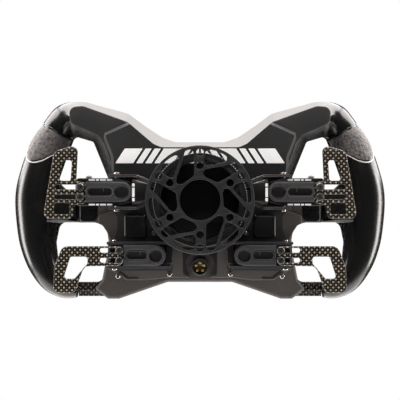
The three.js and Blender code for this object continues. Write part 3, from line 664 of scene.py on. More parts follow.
def ring(profile, centre, axis="Y", steps=64):
    """A lathe ring from a closed profile that stays off the axis."""
    work = bmesh.new()
    rows = [[work.verts.new((r * math.cos(math.tau * k / steps) * MM, y * MM,
                             r * math.sin(math.tau * k / steps) * MM)) for k in range(steps)] for r,
            y in profile[:-1]]
    for low, high in zip(rows, rows[1:] + rows[:1]):
        for k in range(steps):
            work.faces.new([low[k], low[(k + 1) % steps], high[(k + 1) % steps], high[k]])
    mesh = bpy.data.meshes.new("ring")
    work.to_mesh(mesh)
    work.free()
    mesh.transform(Matrix.Translation(Vector(centre) * MM) @ AXES[axis])
    return mesh


piece("socket_shell_turned", ring(shell, (0, 0, SOCKET_Z)), black_anodising, "wheel",
      ["socket_shell"])
dress("socket_insert", matt_black)
pins = [turned([(0, 27.7), (0.7, 27.8), (1.15, 28.3), (1.15, 34.4), (0, 34.4)], (x, 0, z), steps=16)
        for x, z in ((-3.0, -49.4), (3.0, -49.4), (-2.2, -53.4), (2.2, -53.4), (0, -47.4))]
piece("socket_pins", together(*pins), gold, "wheel")
key = block(-0.9, 0.9, 29, 36, SOCKET_Z + 4.2, SOCKET_Z + 5.4)
piece("socket_key", key, black_anodising, "wheel")

# ------------------------------------------------------------------------------------ circuit board
# The green circuit board between the casings, which reads the controls.

solder_mask = worn_material("green_solder_mask", (0.008, 0.05, 0.026), 0.4, grain=0.0004, depth=0.000006)
dress("circuit_board", solder_mask)

# ------------------------------------------------------------------------------------ front plate
# The plate that everything is screwed to, cut from 4 mm carbon fibre sheet: a plain weave of 2 mm tows under
# clear lacquer, with bare edges. The pale tow crowns are painted highlights, and the pale edges are bare
# carbon with a painted highlight. Cap screws along its edge hold the casings.


def build_plain_weave():
    """Tows that cross over and under each other: each crown carries a painted highlight in its colour, and
    the gaps stay dark.
    """
    tree, ins, outs = group(
        "plain_weave",
        [("Resin Color", COLOUR, None), ("Crown Highlight Color", COLOUR, None), ("Edge Color", COLOUR, None),
         ("Tow Width", FLOAT, 0.0021), ("Edge Width", FLOAT, 0.0005)],
        [("Color", COLOUR), ("Roughness", FLOAT), ("Height", FLOAT)],
    )
    place = add(tree, "ShaderNodeTexCoord").outputs["Object"]
    axis = add(tree, "ShaderNodeSeparateXYZ", {0: place}).outputs
    pitch = sums(tree, "DIVIDE", math.pi, ins["Tow Width"])
    across = sums(tree, "SINE", sums(tree, "MULTIPLY", axis["X"], pitch))
    upward = sums(tree, "SINE", sums(tree, "MULTIPLY", axis["Z"], pitch))
    over = sums(tree, "MULTIPLY", across, upward)
    waver = add(tree, "ShaderNodeTexNoise", {"Vector": place, "Scale": 900.0, "Detail": 3.0}).outputs[0]
    fibre_lines = add(tree, "ShaderNodeVectorMath", {0: place, 1: (4200.0, 300.0, 300.0)},
                      operation="MULTIPLY").outputs[0]
    fibres = add(tree, "ShaderNodeTexNoise", {"Vector": fibre_lines, "Scale": 1.0, "Detail": 2.0}).outputs[0]
    crown = ramp(tree, sums(tree, "ADD", over, sums(tree, "MULTIPLY", sums(tree, "SUBTRACT", waver, 0.5),
                                                    0.5)), 0.22, 0.92)
    lit = sums(tree, "MULTIPLY", crown, ramp(tree, fibres, 0.25, 0.7, 0.55, 1.15))
    weft = ramp(tree, sums(tree, "MULTIPLY", over, -1.0), 0.3, 1.0, 0.0, 0.1)
    painted_crown_colour = mixed(tree, sums(tree, "ADD", lit, weft), ins["Resin Color"], ins["Crown Highlight Color"])
    soft = add(tree, "ShaderNodeBevel", {"Radius": ins["Edge Width"]}, samples=6).outputs[0]
    hard = add(tree, "ShaderNodeNewGeometry").outputs["Normal"]
    facing = add(tree, "ShaderNodeVectorMath", {0: soft, 1: hard}, operation="DOT_PRODUCT").outputs["Value"]
    # Pale rims on the rounded edges: bare cut carbon and a painted edge highlight.
    bare_and_highlit_edge = ramp(tree, facing, 0.99, 0.8, 0.0, 0.85)
    local = add(tree, "ShaderNodeSeparateXYZ",
                {0: add(tree, "ShaderNodeTexCoord").outputs["Normal"]}).outputs["Y"]
    cut_side = ramp(tree, sums(tree, "ABSOLUTE", local), 0.75, 0.35, 0.0, 1.0)
    plies = add(tree, "ShaderNodeTexNoise",
                {"Vector": add(tree, "ShaderNodeVectorMath", {0: place, 1: (90.0, 3200.0, 90.0)},
                               operation="MULTIPLY").outputs[0], "Scale": 1.0, "Detail": 2.0}).outputs[0]
    cut_colour = mixed(tree, ramp(tree, plies, 0.45, 0.7, 0.0, 0.35), ins["Resin Color"], ins["Edge Color"])
    faced = mixed(tree, bare_and_highlit_edge, painted_crown_colour, ins["Edge Color"])
    tree.links.new(mixed(tree, cut_side, faced, cut_colour), outs["Color"])
    tree.links.new(ramp(tree, lit, 0.0, 1.0, 0.24, 0.36), outs["Roughness"])
    tree.links.new(sums(tree, "ABSOLUTE", over), outs["Height"])
    return tree


plain_weave = build_plain_weave()


def carbon_material(name, crown_highlight_colour, edge_colour, tow_width):
    made, tree, shader = new_material(name)
    weave = add(tree, "ShaderNodeGroup", node_tree=plain_weave)
    weave.inputs["Resin Color"].default_value = (0.0035, 0.0035, 0.0035, 1)
    weave.inputs["Crown Highlight Color"].default_value = (*crown_highlight_colour, 1)
    weave.inputs["Edge Color"].default_value = (*edge_colour, 1)
    weave.inputs["Tow Width"].default_value = tow_width
    bump = add(tree, "ShaderNodeBump", {"Height": weave.outputs["Height"], "Strength": 0.6,
                                        "Distance": 0.00012})
    tree.links.new(weave.outputs["Color"], shader.inputs["Base Color"])
    tree.links.new(weave.outputs["Roughness"], shader.inputs["Roughness"])
    tree.links.new(bump.outputs[0], shader.inputs["Normal"])
    shader.inputs["Coat Weight"].default_value = 0.5
    shader.inputs["Coat Roughness"].default_value = 0.12
    return made


# The beige crown colour is a painted highlight on the black tows.
carbon_sheet = carbon_material("carbon_sheet", (0.24, 0.2, 0.155), (0.07, 0.065, 0.06), 0.0021)
UPPER_OPENING = [(-99, 47.2, 2), (-105.2, 31, 6), (-111, 14.4, 3), (-104.4, SPLIT - 0.15, 5),
                 (-69.6, SPLIT - 0.15), (-71, 17.5, 8), (-82.4, 45.2, 5), (-96.6, 49.4, 3)]
LOWER_OPENING = [(-109.4, -17.2, 7), (-112.6, -33, 9), (-110.6, -52, 8), (-105, -64.2, 5), (-76.4, -64.2, 6),
                 (-69.6, -36, 6), (-69.7, -30.5, 4), (-70.8, -23.2, 5), (-74, -18.7, 5), (-80.4, -17.2, 4)]
PLATE_EDGE = [(-19, 44.4, 10), (-29, 47.9, 16), (-43, 57.3, 40), (-54.8, 66.2, 12), (-89, 75.4, 16),
              (-104, 75.4, 10), (-112, 66), (-117, 50), (-121, 30), (-124, 4), (-124, -18), (-121, -40),
              (-112, -60), (-104, -70.3), (-94.8, -71.8), (-94.8, -75.2), (-61.6, -75.2, 4),
              (-24.4, -62.5, 8)]
BUTTONS = [(-60, 27), (-41, 21), (-62, -3), (-62, -24)]
KNOBS = {"left_knob": (-40, -43), "middle_knob": (0, -44), "right_knob": (40, -43)}
THUMB_X, THUMB_Y, THUMB_Z = -81, 61.5, -4.8
plate_outlines = [rounded(both_halves(PLATE_EDGE), 8)]
for x0, z0 in KNOBS.values():
    plate_outlines.append(circle(x0, z0, 3.4, 32))
THUMB_SLOT = [(THUMB_X - 3.8, THUMB_Z - 10.2, 1), (THUMB_X + 3.8, THUMB_Z - 10.2, 1),
              (THUMB_X + 3.8, THUMB_Z + 10.2, 1), (THUMB_X - 3.8, THUMB_Z + 10.2, 1)]
for corners in (UPPER_OPENING, LOWER_OPENING, THUMB_SLOT):
    hole = rounded(corners, 6)
    plate_outlines += [hole, mirrored(hole)]
for x, z in BUTTONS:
    plate_outlines += [circle(x, z, 5, 32), circle(-x, z, 5, 32)]
piece("front_plate_carbon", plate(plate_outlines, PLATE_REAR, PLATE_FRONT, 0.3, 1), carbon_sheet, "wheel",
      ["front_plate"])

PLATE_SCREWS = [(-88, 66), (-54, 55), (-24, 38), (-26, -54), (-62, -66), (-68, 14)]
head, sixes = cap_screw(2.6, 1.6)
plate_screws = turned(head, six_sided=sixes, steps=30)
plate_screws.transform(Matrix.Rotation(math.pi, 4, "Z"))
screws = []
for x, z in PLATE_SCREWS:
    moved = plate_screws.copy()
    moved.transform(Matrix.Translation((x * MM, (PLATE_FRONT + 0.05) * MM, z * MM)))
    screws.append(moved)
pair("plate_screws", together(*screws), black_steel, "wheel")

# ------------------------------------------------------------------------------------ grips
# The two handles: bars of smooth satin black moulding round the plate's ends, each with an arm to the
# body between the finger openings.

# x, z, half width and half depth along the grip's line
GRIP = [(-109.9, 53, 12.4, 13), (-117.2, 40, 14.2, 15), (-123.9, 21.4, 14.8, 16.5), (-127.1, 4, 15.7, 17),
        (-126.7, -17, 15.3, 17), (-125.8, -33, 13.6, 16.5), (-121.6, -49.6, 11.4, 15.5),
        (-113.7, -63.2, 9, 14), (-104, -70, 6.2, 11.5), (-95, -70.9, 4.7, 9)]
GRIP_MIDDLE_Y = 50
GRIP_RINGS, GRIP_AROUND = 90, 56


def along_grip(share):
    """The grip's line at a share of its length: place, half width and half depth, and direction."""
    spans = [math.hypot(b[0] - a[0], b[1] - a[1]) for a, b in zip(GRIP, GRIP[1:])]
    knots = np.concatenate([[0], np.cumsum(np.sqrt(spans))])
    t = share * knots[-1]
    i = min(len(GRIP) - 2, int(np.searchsorted(knots, t, side="right")) - 1)
    ends = [np.array(GRIP[min(len(GRIP) - 1, max(0, j))]) for j in (i - 1, i, i + 1, i + 2)]
    if i == 0:
        ends[0] = 2 * ends[1] - ends[2]
    if i == len(GRIP) - 2:
        ends[3] = 2 * ends[2] - ends[1]
    step = knots[i + 1] - knots[i]
    before = knots[i] - knots[i - 1] if i else step
    after = knots[i + 2] - knots[i + 1] if i < len(GRIP) - 2 else step
    start_slope = ((ends[1] - ends[0]) / before - (ends[2] - ends[0]) / (before + step)
                   + (ends[2] - ends[1]) / step) * step
    end_slope = ((ends[2] - ends[1]) / step - (ends[3] - ends[1]) / (step + after)
                 + (ends[3] - ends[2]) / after) * step
    u = (t - knots[i]) / step
    rise = ends[2] - ends[1]
    c2, c3 = 3 * rise - 2 * start_slope - end_slope, -2 * rise + start_slope + end_slope
    where = ends[1] + start_slope * u + c2 * u * u + c3 * u ** 3
    heading = (start_slope + 2 * c2 * u + 3 * c3 * u * u)[:2]
    return where, heading / np.linalg.norm(heading)


def on_grip(share, angle, proud=0.0):
    """A point on the grip in metres. The angle is 0 at its outer side and -90 degrees at its rear."""
    (x, z, width, depth), (dx, dz) = along_grip(share)
    u, v = (math.copysign(abs(c) ** 0.85, c) for c in (math.cos(angle), math.sin(angle)))
    u, v = u * (width + proud), v * (depth + proud)
    return Vector((x + dz * u, GRIP_MIDDLE_Y + v, z - dx * u)) * MM


def swept_grid(rows, closed):
    """Rows of points as a skin, and the bmesh that holds it."""
    work = bmesh.new()
    rows = [[work.verts.new(p) for p in row] for row in rows]
    for low, high in zip(rows, rows[1:]):
        for k in range(len(low) if closed else len(low) - 1):
            m = (k + 1) % len(low)
            work.faces.new([low[k], low[m], high[m], high[k]])
    return work, rows


def as_mesh(work, name):
    mesh = bpy.data.meshes.new(name)
    work.to_mesh(mesh)
    work.free()
    return mesh


grip_black = worn_material("satin_grip_black", (0.003, 0.003, 0.003), 0.27, grain=0.0009, depth=0.0000006,
                           gloss_spread=0.04, edge_amount=0.15, coat_weight=0.5, coat_roughness=0.24)
work, rows = swept_grid([[on_grip(i / GRIP_RINGS, math.tau * k / GRIP_AROUND) for k in range(GRIP_AROUND)]
                         for i in range(GRIP_RINGS + 1)], True)
work.faces.new(rows[0])
work.faces.new(rows[-1])
bar = as_mesh(work, "bar")
ARM = [(-91.7, SPLIT - 0.15, 0.6), (-118, SPLIT - 0.15), (-118, -17.2), (-91.7, -17.2, 0.6)]
arm = plate([rounded(ARM, 3)], 34.6, PLATE_REAR - 0.3, 3, 4)
pair("grip_moulded", together(bar, arm), grip_black, "wheel", ["{side}_grip"], smooth=40)

# ------------------------------------------------------------------------------------ grip pads
# A grey grained pad let into the rear of each grip's upper end, with a thin white piping along its lower
# edge.


def build_hide_grain():
    """Small rounded cells with creases between them, and patches of wear."""
    tree, ins, outs = group(
        "hide_grain",
        [("Color", COLOUR, None), ("Worn Color", COLOUR, None), ("Cell Size", FLOAT, 0.0018)],
        [("Color", COLOUR), ("Roughness", FLOAT), ("Height", FLOAT)],
    )
    place = add(tree, "ShaderNodeTexCoord").outputs["Object"]
    scale = sums(tree, "DIVIDE", 1.0, ins["Cell Size"])
    cells = add(tree, "ShaderNodeTexVoronoi", {"Vector": place, "Scale": scale},
                feature="SMOOTH_F1").outputs["Distance"]
    fine = add(tree, "ShaderNodeTexNoise", {"Vector": place, "Scale": 1100.0, "Detail": 4.0}).outputs[0]
    patches = add(tree, "ShaderNodeTexNoise", {"Vector": place, "Scale": 420.0, "Detail": 5.0}).outputs[0]
    height = sums(tree, "ADD", sums(tree, "MULTIPLY", cells, -0.8), sums(tree, "MULTIPLY", fine, 0.35))
    worn = ramp(tree, sums(tree, "ADD", patches, sums(tree, "MULTIPLY", height, 0.35)), 0.2, 0.5)
    tree.links.new(mixed(tree, worn, ins["Color"], ins["Worn Color"]), outs["Color"])
    tree.links.new(ramp(tree, worn, 0.0, 1.0, 0.82, 0.68), outs["Roughness"])
    tree.links.new(height, outs["Height"])
    return tree


hide_grain = build_hide_grain()
pad_grey, tree, shader = new_material("grey_grained_pad")
hide = add(tree, "ShaderNodeGroup", node_tree=hide_grain)
hide.inputs["Color"].default_value = (0.016, 0.0145, 0.014, 1)
hide.inputs["Worn Color"].default_value = (0.1, 0.092, 0.088, 1)
bump = add(tree, "ShaderNodeBump", {"Height": hide.outputs["Height"], "Strength": 1.0, "Distance": 0.0007})
tree.links.new(hide.outputs["Color"], shader.inputs["Base Color"])
tree.links.new(hide.outputs["Roughness"], shader.inputs["Roughness"])
tree.links.new(bump.outputs[0], shader.inputs["Normal"])
shader.inputs["Sheen Weight"].default_value = 0.25

piping_white = worn_material("white_piping", (0.72, 0.7, 0.68), 0.5, grain=0.0004, depth=0.00002, mottle=0.06)
PAD_EDGE = [(12, 0.115), (-4, 0.125), (-20, 0.157), (-45, 0.188), (-70, 0.193), (-88, 0.18), (-100, 0.151),
            (-115, 0.122), (-135, 0.094), (-172, 0.056)]  # angle round the grip, share of its length
PAD_TOP, PAD_PROUD, PAD_SUNK = 0.006, 0.45, -0.8


def pad_low(angle):
    """The pad's lower edge at an angle, as a smooth curve through its marked points."""
    turns = [math.radians(a) for a, _ in PAD_EDGE][::-1]
    shares = [share for _, share in PAD_EDGE][::-1]
    near = np.linspace(angle - 0.16, angle + 0.16, 9)
    return float(np.interp(near, turns, shares).mean())


PAD_AROUND, PAD_ROWS = 64, 26
turns = [math.radians(PAD_EDGE[0][0] + (PAD_EDGE[-1][0] - PAD_EDGE[0][0]) * k / PAD_AROUND)
         for k in range(PAD_AROUND + 1)]
skin = []
for i in range(PAD_ROWS + 1):
    row = []
    for k, turn in enumerate(turns):
        rim = min(i, PAD_ROWS - i, k, PAD_AROUND - k)
        proud = PAD_PROUD if rim > 1 else (PAD_PROUD - 0.15 if rim == 1 else PAD_SUNK)
        row.append(on_grip(PAD_TOP + (pad_low(turn) - PAD_TOP) * i / PAD_ROWS, turn, proud))
    skin.append(row)
work, rows = swept_grid(skin, False)
bmesh.ops.recalc_face_normals(work, faces=work.faces)
bmesh.ops.solidify(work, geom=work.faces[:] + work.edges[:] + work.verts[:], thickness=0.0006)
pad = as_mesh(work, "pad")
pair("grip_pad_grained", pad, pad_grey, "wheel", ["{side}_grip_pad"], smooth=60)


def tube(points, radius, sides=8):
    """A round cord along points in metres, closed at its ends."""
    rows = []
    for i, p in enumerate(points):
        ahead = (points[min(i + 1, len(points) - 1)] - points[max(i - 1, 0)]).normalized()
        first = ahead.orthogonal().normalized() if not i else (first - ahead * first.dot(ahead)).normalized()
        second = ahead.cross(first)
        rows.append([p + (first * math.cos(math.tau * k / sides)
                          + second * math.sin(math.tau * k / sides)) * radius * MM for k in range(sides)])
    work, rows = swept_grid(rows, True)
    work.faces.new(rows[0])
    work.faces.new(rows[-1])
    return as_mesh(work, "tube")


piping = tube([on_grip(pad_low(turn) + 0.006, turn, 0.15) for turn in turns], 0.36)
pair("pad_piping", piping, piping_white, "wheel", smooth=80)

# ------------------------------------------------------------------------------------ paddle unit holders
# The channel that each paddle unit turns in: a floor and two flanges, machined from grey aluminium, with
# a steel pivot pin through the flanges. A white-printed scale is on the shifter's holder.

SHIFTER = {"name": "shifter", "z": 6, "pivot": -62.5, "flange": 13, "inner": -51.5, "block": -39,
           "lever": 10.3, "waist": 7.3, "rib": 7.4, "rib_from": -84.8, "outer": -93, "boss": -58.2,
           "eye": 5.2, "rim": 7.0, "groove": (-83.4, -65.6), "groove_half": 2.6, "screw_x": -89,
           "marks": True}
CLUTCH = {"name": "clutch", "z": -41.2, "pivot": -64, "flange": 9.8, "inner": -26.2, "block": -20.5,
          "lever": 7.9, "waist": 6.3, "rib": 7.5, "rib_from": -56.6, "outer": -67.5, "boss": -33,
          "eye": 4.7, "rim": 6.3, "groove": (-54.6, -39.6), "groove_half": 2.8, "screw_x": -60,
          "marks": False}
LEVER_REAR, SHOULDER, LEVER_FRONT, HOLDER_REAR, HOLDER_FLOOR, PIVOT_Y = 12, 16.6, 24, 15, 25.2, 20.5

module_grey = worn_material("grey_machined", (0.055, 0.055, 0.058), 0.42, grain=0.0003, depth=0.00001,
                            edge=(0.3, 0.29, 0.28), edge_amount=0.7, edge_width=0.0003, metallic=0.35)
# A lighter copy of the holder grey with a pinkish edge colour: painted highlight on the shifter holder's
# flanges.
highlit_holder_grey = worn_material("holder_grey_painted_highlight", (0.1, 0.094, 0.094), 0.32, grain=0.0003, depth=0.00001,
                            edge=(0.6, 0.55, 0.53), edge_amount=1.0, edge_width=0.0005, metallic=0.6)
for unit in (SHIFTER, CLUTCH):
    z, flange, block_end, waist = unit["z"], unit["flange"], unit["block"], unit["waist"]
    start = unit["inner"] + 1.2
    for side, _ in SIDES:
        dress(f"{side}_{unit['name']}_pivot_pin", steel, 0.3)
    outer, inner, taper = unit["pivot"] - 5.5, unit["inner"] + 4, 3.4
    floor = [(outer, z + flange), (outer, z - flange), (inner, z - flange), (block_end, z - flange + taper),
             (block_end, z + flange - taper), (inner, z + flange)]
    core = [(start, z - flange + taper), (block_end, z - flange + 2 * taper),
            (block_end, z + flange - 2 * taper), (start, z + flange - taper)]
    channel = plate([rounded(floor)], HOLDER_FLOOR, COVER_REAR - 0.3, 0.25)
    walls = [block(outer, inner, HOLDER_REAR, HOLDER_FLOOR + 0.5, low, low + 1.8)
             for low in (z - flange, z + flange - 1.8)]
    for solid in (plate([rounded(core)], HOLDER_REAR + 1, HOLDER_FLOOR + 0.5, 0.3), *walls):
        channel = carved(channel, solid, operation="UNION")
    bore = turned([(0, -60), (1.6, -60), (1.6, 60), (0, 60)], (unit["pivot"], PIVOT_Y, 0), "Z")
    # The shifter's holder takes the lighter copy with its painted edge highlight.
    grey = highlit_holder_grey if unit["marks"] else module_grey
    pair(f"{unit['name']}_holder_machined", carved(channel, bore), grey, "wheel",
         [f"{{side}}_{unit['name']}_holder"], smooth=20)
    lid = [(start, z + waist + 0.6, 0.5), (start, z - waist - 0.6, 0.5), (start + 3, z - waist),
           (block_end, z - waist + 1), (block_end, z + waist - 1), (start + 3, z + waist)]
    pair(f"{unit['name']}_holder_lid", plate([rounded(lid, 3)], HOLDER_REAR, HOLDER_REAR + 1.6, 0.3),
         gloss_black, "wheel")
    if unit["marks"]:
        marks = [plate([rounded([(-50.6, z + a, 0.2), (-48.7, z + a, 0.2), (-48.7, z + b, 0.2),
                                 (-50.6, z + b, 0.2)], 2)], HOLDER_REAR - 0.06, HOLDER_REAR + 0.1, 0, 0)
                 for a, b in ((-7, -4.4), (-3.7, 3.2), (4.0, 6.4))]
        pair("holder_marks", together(*marks), print_white_with_glow, "wheel")

# ------------------------------------------------------------------------------------ paddle unit levers
# The lever of each unit: a black body with a grey raised rib along it. The rib has a long adjusting groove
# with a rim, and a stepped eye at its rounded inner end. The shifter's lever carries a magnet and a dome
# screw.

# Near-black floors in the lever's groove and eye: painted shade of these recesses.
recess_shade_black = worn_material("painted_recess_shade", (0.003, 0.003, 0.003), 0.5, grain=0.0004, depth=0.00001,
                            edge_amount=0.2)


def slot_outline(x0, x1, z, half):
    """A slot from x0 to x1 with round ends."""
    return rounded([(x0, z - half, half), (x1, z - half, half), (x1, z + half, half),
                    (x0, z + half, half)], 8)


def stadium_end(x0, boss, z, half, steps=24):
    """A straight-sided outline from x0 whose inner end is a half circle about boss."""
    arc = [Vector((boss + half * math.cos(a), z + half * math.sin(a))) * MM
           for a in (math.pi * (k / steps - 0.5) for k in range(steps + 1))]
    return [Vector((x0, z + half)) * MM, Vector((x0, z - half)) * MM, *arc]


for unit in (SHIFTER, CLUTCH):
    z, boss, rib, (g0, g1), half = unit["z"], unit["boss"], unit["rib"], unit["groove"], unit["groove_half"]
    body = f"{{side}}_{unit['name']}"
    hinge = unit["pivot"] + 1
    tail = [(unit["outer"], z + unit["lever"] - 1.6, 1), (unit["outer"], z - unit["lever"] + 1.6, 1),
            (unit["outer"] + 2, z - unit["lever"], 1), (hinge, z - unit["lever"], 3),
            (unit["inner"], z - unit["waist"] - 0.4, 0.6), (unit["inner"], z + unit["waist"] + 0.4, 0.6),
            (hinge, z + unit["lever"], 3), (unit["outer"] + 2, z + unit["lever"], 1)]
    base = plate([rounded(tail, 5)], SHOULDER, LEVER_FRONT, 0.5)
    pair(f"{unit['name']}_lever_body", base, gloss_black, body,
         [f"{{side}}_{unit['name']}_lever"])
    frame_slot = slot_outline(g0 - 1.4, g1 + 1.1, z, half + 1.3)
    bars_plate = plate([stadium_end(unit["rib_from"], boss, z, rib), frame_slot,
                        circle(boss, z, unit["eye"] + 0.2, 48)], LEVER_REAR, SHOULDER + 0.4, 0.35)
    rim_plate = plate([slot_outline(g0 - 0.9, g1 + 0.7, z, half + 0.75), slot_outline(g0, g1, z, half)],
                      LEVER_REAR + 0.25, SHOULDER + 0.4, 0.15, 1)
    tick = block((g0 + g1) / 2 + 2.2, (g0 + g1) / 2 + 2.9, LEVER_REAR + 0.9, LEVER_REAR + 2.6, z + 0.5,
                 z + half + 0.1)
    pair(f"{unit['name']}_lever_rib", together(bars_plate, rim_plate, tick), module_grey, body)
    floor_plate = plate([slot_outline(g0 - 1.3, g1 + 1.0, z, half + 1.2)], LEVER_REAR + 2.4,
                        SHOULDER + 0.3, 0, 0)
    bottom = turned([(0, LEVER_REAR + 2.2), (unit["eye"] * 0.8, LEVER_REAR + 2.2),
                     (unit["eye"] + 0.1, LEVER_REAR + 1.6), (unit["eye"] + 0.1, SHOULDER + 0.3),
                     (0, SHOULDER + 0.3)], (boss, 0, z), steps=12)
    pair(f"{unit['name']}_lever_recess", together(floor_plate, bottom), recess_shade_black, body,
         smooth=20)
    steps = [ring([(r, LEVER_REAR - h), (r + w, LEVER_REAR - h), (r + w, LEVER_REAR + 0.8),
                   (r, LEVER_REAR + 0.8), (r, LEVER_REAR - h)], (boss, 0, z), steps=64) for r, w,
             h in ((unit["eye"] + 0.25, 0.35, 0.0), (unit["eye"] + 0.9, 0.45, 0.35))]
    pair(f"{unit['name']}_eye_rings", together(*steps), module_grey, body)
    if unit["marks"]:
        marks = []
        for level in (9.0, -9.4):
            for x0, x1 in ((-83, -78.4), (-77.6, -75.4), (-74.6, -70.2), (-69.3, -65.4)):
                corners = [(x0, z + level - 0.6, 0.2), (x1, z + level - 0.6, 0.2), (x1, z + level + 0.6, 0.2),
                           (x0, z + level + 0.6, 0.2)]
                marks.append(plate([rounded(corners, 2)], SHOULDER - 0.08, SHOULDER + 0.2, 0, 0))
        pair("lever_marks", together(*marks), print_white_with_glow, body)
        dome = [(0, -0.4), (2.4, -0.4), (2.4, 0.4), (2.1, 1.1), (1.3, 1.7), (0, 1.95)]
        pair("lever_dome_screw", turned(dome, (-83.2, 19.4, z + unit["lever"]), "Z", 24), black_steel,
             body, smooth=50)
for side, _ in SIDES:
    dress(f"{side}_shifter_magnet", steel, 0.3)

# ------------------------------------------------------------------------------------ paddles
# The four paddles, cut from 3.4 mm carbon sheet with windows to lighten them, their edges broken all
# round. Two cap screws in slots hold each to its lever.

# The beige crown colour and the pale edge colour are painted highlights on the weave and the broken edges.
carbon_paddle = carbon_material("carbon_paddle", (0.52, 0.44, 0.34), (0.42, 0.38, 0.33), 0.0020)
PADDLE_REAR, PADDLE_FRONT, SCREW_SPREAD, SLOT_HALF = 12.9, 16.3, 3.7, 1.75
SHIFTER_PADDLE = [(-108.4, 36.4, 7), (-116.8, -14.2, 5), (-94.6, -14.2, 5), (-93.6, -3.6, 2),
                  (-84.8, -2.4, 3), (-85, 12.6, 2.5), (-92.2, 14.2, 1.5), (-90.8, 41, 4)]
SHIFTER_WINDOWS = [[(-102, 29.6, 2.5), (-104.8, 14.4, 1.5), (-96.2, 14.4, 1.5), (-95.2, 29.6, 2)],
                   [(-108.4, -2.2, 1.5), (-108.8, -10.7, 1.5), (-96.8, -10.7, 1.5), (-96.8, -2.2, 1.5)]]
CLUTCH_PADDLE = [(-102.5, -34.4, 6), (-108.4, -50), (-109, -69, 4), (-93.4, -69.2, 3), (-86.4, -49.4, 5),
                 (-57.4, -48.8, 4), (-57, -34.4, 3)]
CLUTCH_WINDOWS = [[(-96.6, -42.2, 2), (-101.8, -58.6, 2), (-93.4, -58.6, 2), (-83.8, -47.4, 2),
                   (-83.4, -42.2, 2)]]
for unit, edge, windows, (out, inn) in ((SHIFTER, SHIFTER_PADDLE, SHIFTER_WINDOWS, (-108.4, -87.2)),
                                        (CLUTCH, CLUTCH_PADDLE, CLUTCH_WINDOWS, (-74.6, -58.2))):
    body = f"{{side}}_{unit['name']}"
    outlines = [rounded(edge, 8), *[rounded(window, 6) for window in windows]]
    for spread in (SCREW_SPREAD, -SCREW_SPREAD):
        outlines.append(slot_outline(out, inn, unit["z"] + spread, SLOT_HALF))
    pair(f"{unit['name']}_paddle_carbon", plate(outlines, PADDLE_REAR, PADDLE_FRONT, 0.45), carbon_paddle,
         body, [f"{{side}}_{unit['name']}_paddle"])
    head, sixes = cap_screw(2.75, 1.7, 0.46)
    for spread, level in ((SCREW_SPREAD, "upper"), (-SCREW_SPREAD, "lower")):
        where = (unit["screw_x"], PADDLE_REAR - 0.1, unit["z"] + spread)
        washer = ring([(1.6, -0.1), (3.1, -0.1), (3.1, 0.1), (1.6, 0.1), (1.6, -0.1)], where, steps=32)
        screw = together(turned(head, where, steps=30, six_sided=sixes), washer)
        pair(f"{unit['name']}_{level}_screw_head", screw, black_steel, body,
             [f"{{side}}_{unit['name']}_{level}_screw"])

# ------------------------------------------------------------------------------------ push buttons
# Eight black push buttons on the front plate. Each has a dished cap with a rounded rim in a machined bezel.

button_black = worn_material("button_rubber", (0.009, 0.009, 0.0095), 0.5, grain=0.0004, depth=0.00002)
BUTTON_REAR = PLATE_FRONT + 1.5
cap = [(0, 50), (4.6, 50), (4.6, BUTTON_REAR), (5.9, BUTTON_REAR), (5.9, 65.4), (5.6, 66), (5.1, 66.4),
       (4.4, 66.3), (3.2, 65.8), (0, 65.5)]
bezel = [(6.2, 60.05), (7.9, 60.05), (8.2, 60.5), (7.9, 61.2), (6.9, 61.6), (6.2, 61.3), (6.2, 60.05)]
for i, (x, z) in enumerate(BUTTONS, 1):
    pair(f"button_{i}_cap", turned(cap, (x, 0, z), steps=48), button_black, f"{{side}}_push_button_{i}",
         [f"{{side}}_button_{i}"])
    pair(f"button_{i}_bezel", ring(bezel, (x, 0, z)), black_anodising, "wheel")

# ------------------------------------------------------------------------------------ rotary knobs
# Three fluted knobs low on the plate. Each has a white pointer let into its top.

KNOB_RADIUS, KNOB_REAR = 9.5, PLATE_FRONT + 0.3
knob_profile = [(0, 50), (3, 50), (3, KNOB_REAR), (KNOB_RADIUS, KNOB_REAR), (KNOB_RADIUS, KNOB_REAR + 2),
                (KNOB_RADIUS - 1.2, KNOB_REAR + 2.8), (KNOB_RADIUS - 1.6, KNOB_REAR + 6),
                (KNOB_RADIUS - 2, KNOB_REAR + 11.6), (KNOB_RADIUS - 2.8, KNOB_REAR + 12.9),
                (KNOB_RADIUS - 4, KNOB_REAR + 12.9), (0, KNOB_REAR + 12.7)]


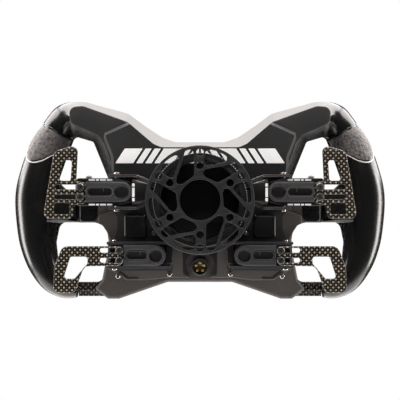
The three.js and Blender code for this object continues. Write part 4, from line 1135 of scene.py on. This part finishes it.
def fluted(profile, rows, flutes, depth, centre, steps=144):
    """A lathe piece whose numbered rows are notched all round."""
    mesh = turned(profile, steps=steps)
    heights = {round(profile[i][1], 3) for i in rows}
    for vert in mesh.vertices:
        radius = math.hypot(vert.co.x, vert.co.z)
        if round(vert.co.y / MM, 3) in heights and radius > 0.6 * profile[rows[0]][0] * MM:
            notch = depth * MM * max(0, math.cos(flutes * math.atan2(vert.co.z, vert.co.x))) ** 2
            vert.co.x *= 1 - notch / radius
            vert.co.z *= 1 - notch / radius
    mesh.transform(Matrix.Translation(Vector(centre) * MM))
    return mesh


for name, (x, z) in KNOBS.items():
    body = name.replace("knob", "rotary")
    made = fluted(knob_profile, (5, 6, 7), 12, 0.9, (x, 0, z))
    piece(f"{name}_fluted", made, gloss_black, body, [name], smooth=40)
    pointer = block(x - 0.5, x + 0.5, KNOB_REAR + 12.4, KNOB_REAR + 12.98, z + 1.4, z + 6.2)
    piece(f"{name}_pointer", pointer, print_white_with_glow, body)

# ------------------------------------------------------------------------------------ thumb wheels
# Two ribbed thumb wheels, one beside each grip, whose rims stand out of their slots in the plate.

thumb_profile = [(0, -3.2), (8.7, -3.2), (9.5, -2.4), (9.5, 2.4), (8.7, 3.2), (0, 3.2)]
thumb = turned(thumb_profile, steps=144)
for vert in thumb.vertices:
    radius = math.hypot(vert.co.x, vert.co.z)
    if radius > 9 * MM:
        vert.co.x *= 1 - 0.06 * max(0, math.cos(24 * math.atan2(vert.co.z, vert.co.x)))
        vert.co.z *= 1 - 0.06 * max(0, math.cos(24 * math.atan2(vert.co.z, vert.co.x)))
thumb.transform(Matrix.Translation(Vector((THUMB_X, THUMB_Y, THUMB_Z)) * MM) @ AXES["X"])
pair("thumb_wheel_ribbed", thumb, button_black, "{side}_thumb_encoder", ["{side}_thumb_wheel"])

# ------------------------------------------------------------------------------------ light bar
# The row of shift lights behind a smoked cover, high on the front plate.

smoked = worn_material("smoked_cover", (0.012, 0.013, 0.016), 0.09, grain=0.002, depth=0.000004,
                       coat_weight=0.5)
dress("light_bar", smoked, 0.4)
lens = worn_material("light_lens", (0.35, 0.33, 0.3), 0.2, grain=0.0004, depth=0.00001)
LIGHT_Z, LIGHTS = 34.25, 12
lights = [turned([(0, 63.9), (1.9, 63.9), (1.7, 64.3), (1.0, 64.7), (0, 64.8)],
                 (6.8 * (k - (LIGHTS - 1) / 2), 0, LIGHT_Z), steps=24) for k in range(LIGHTS)]
piece("shift_lights", together(*lights), lens, "wheel")
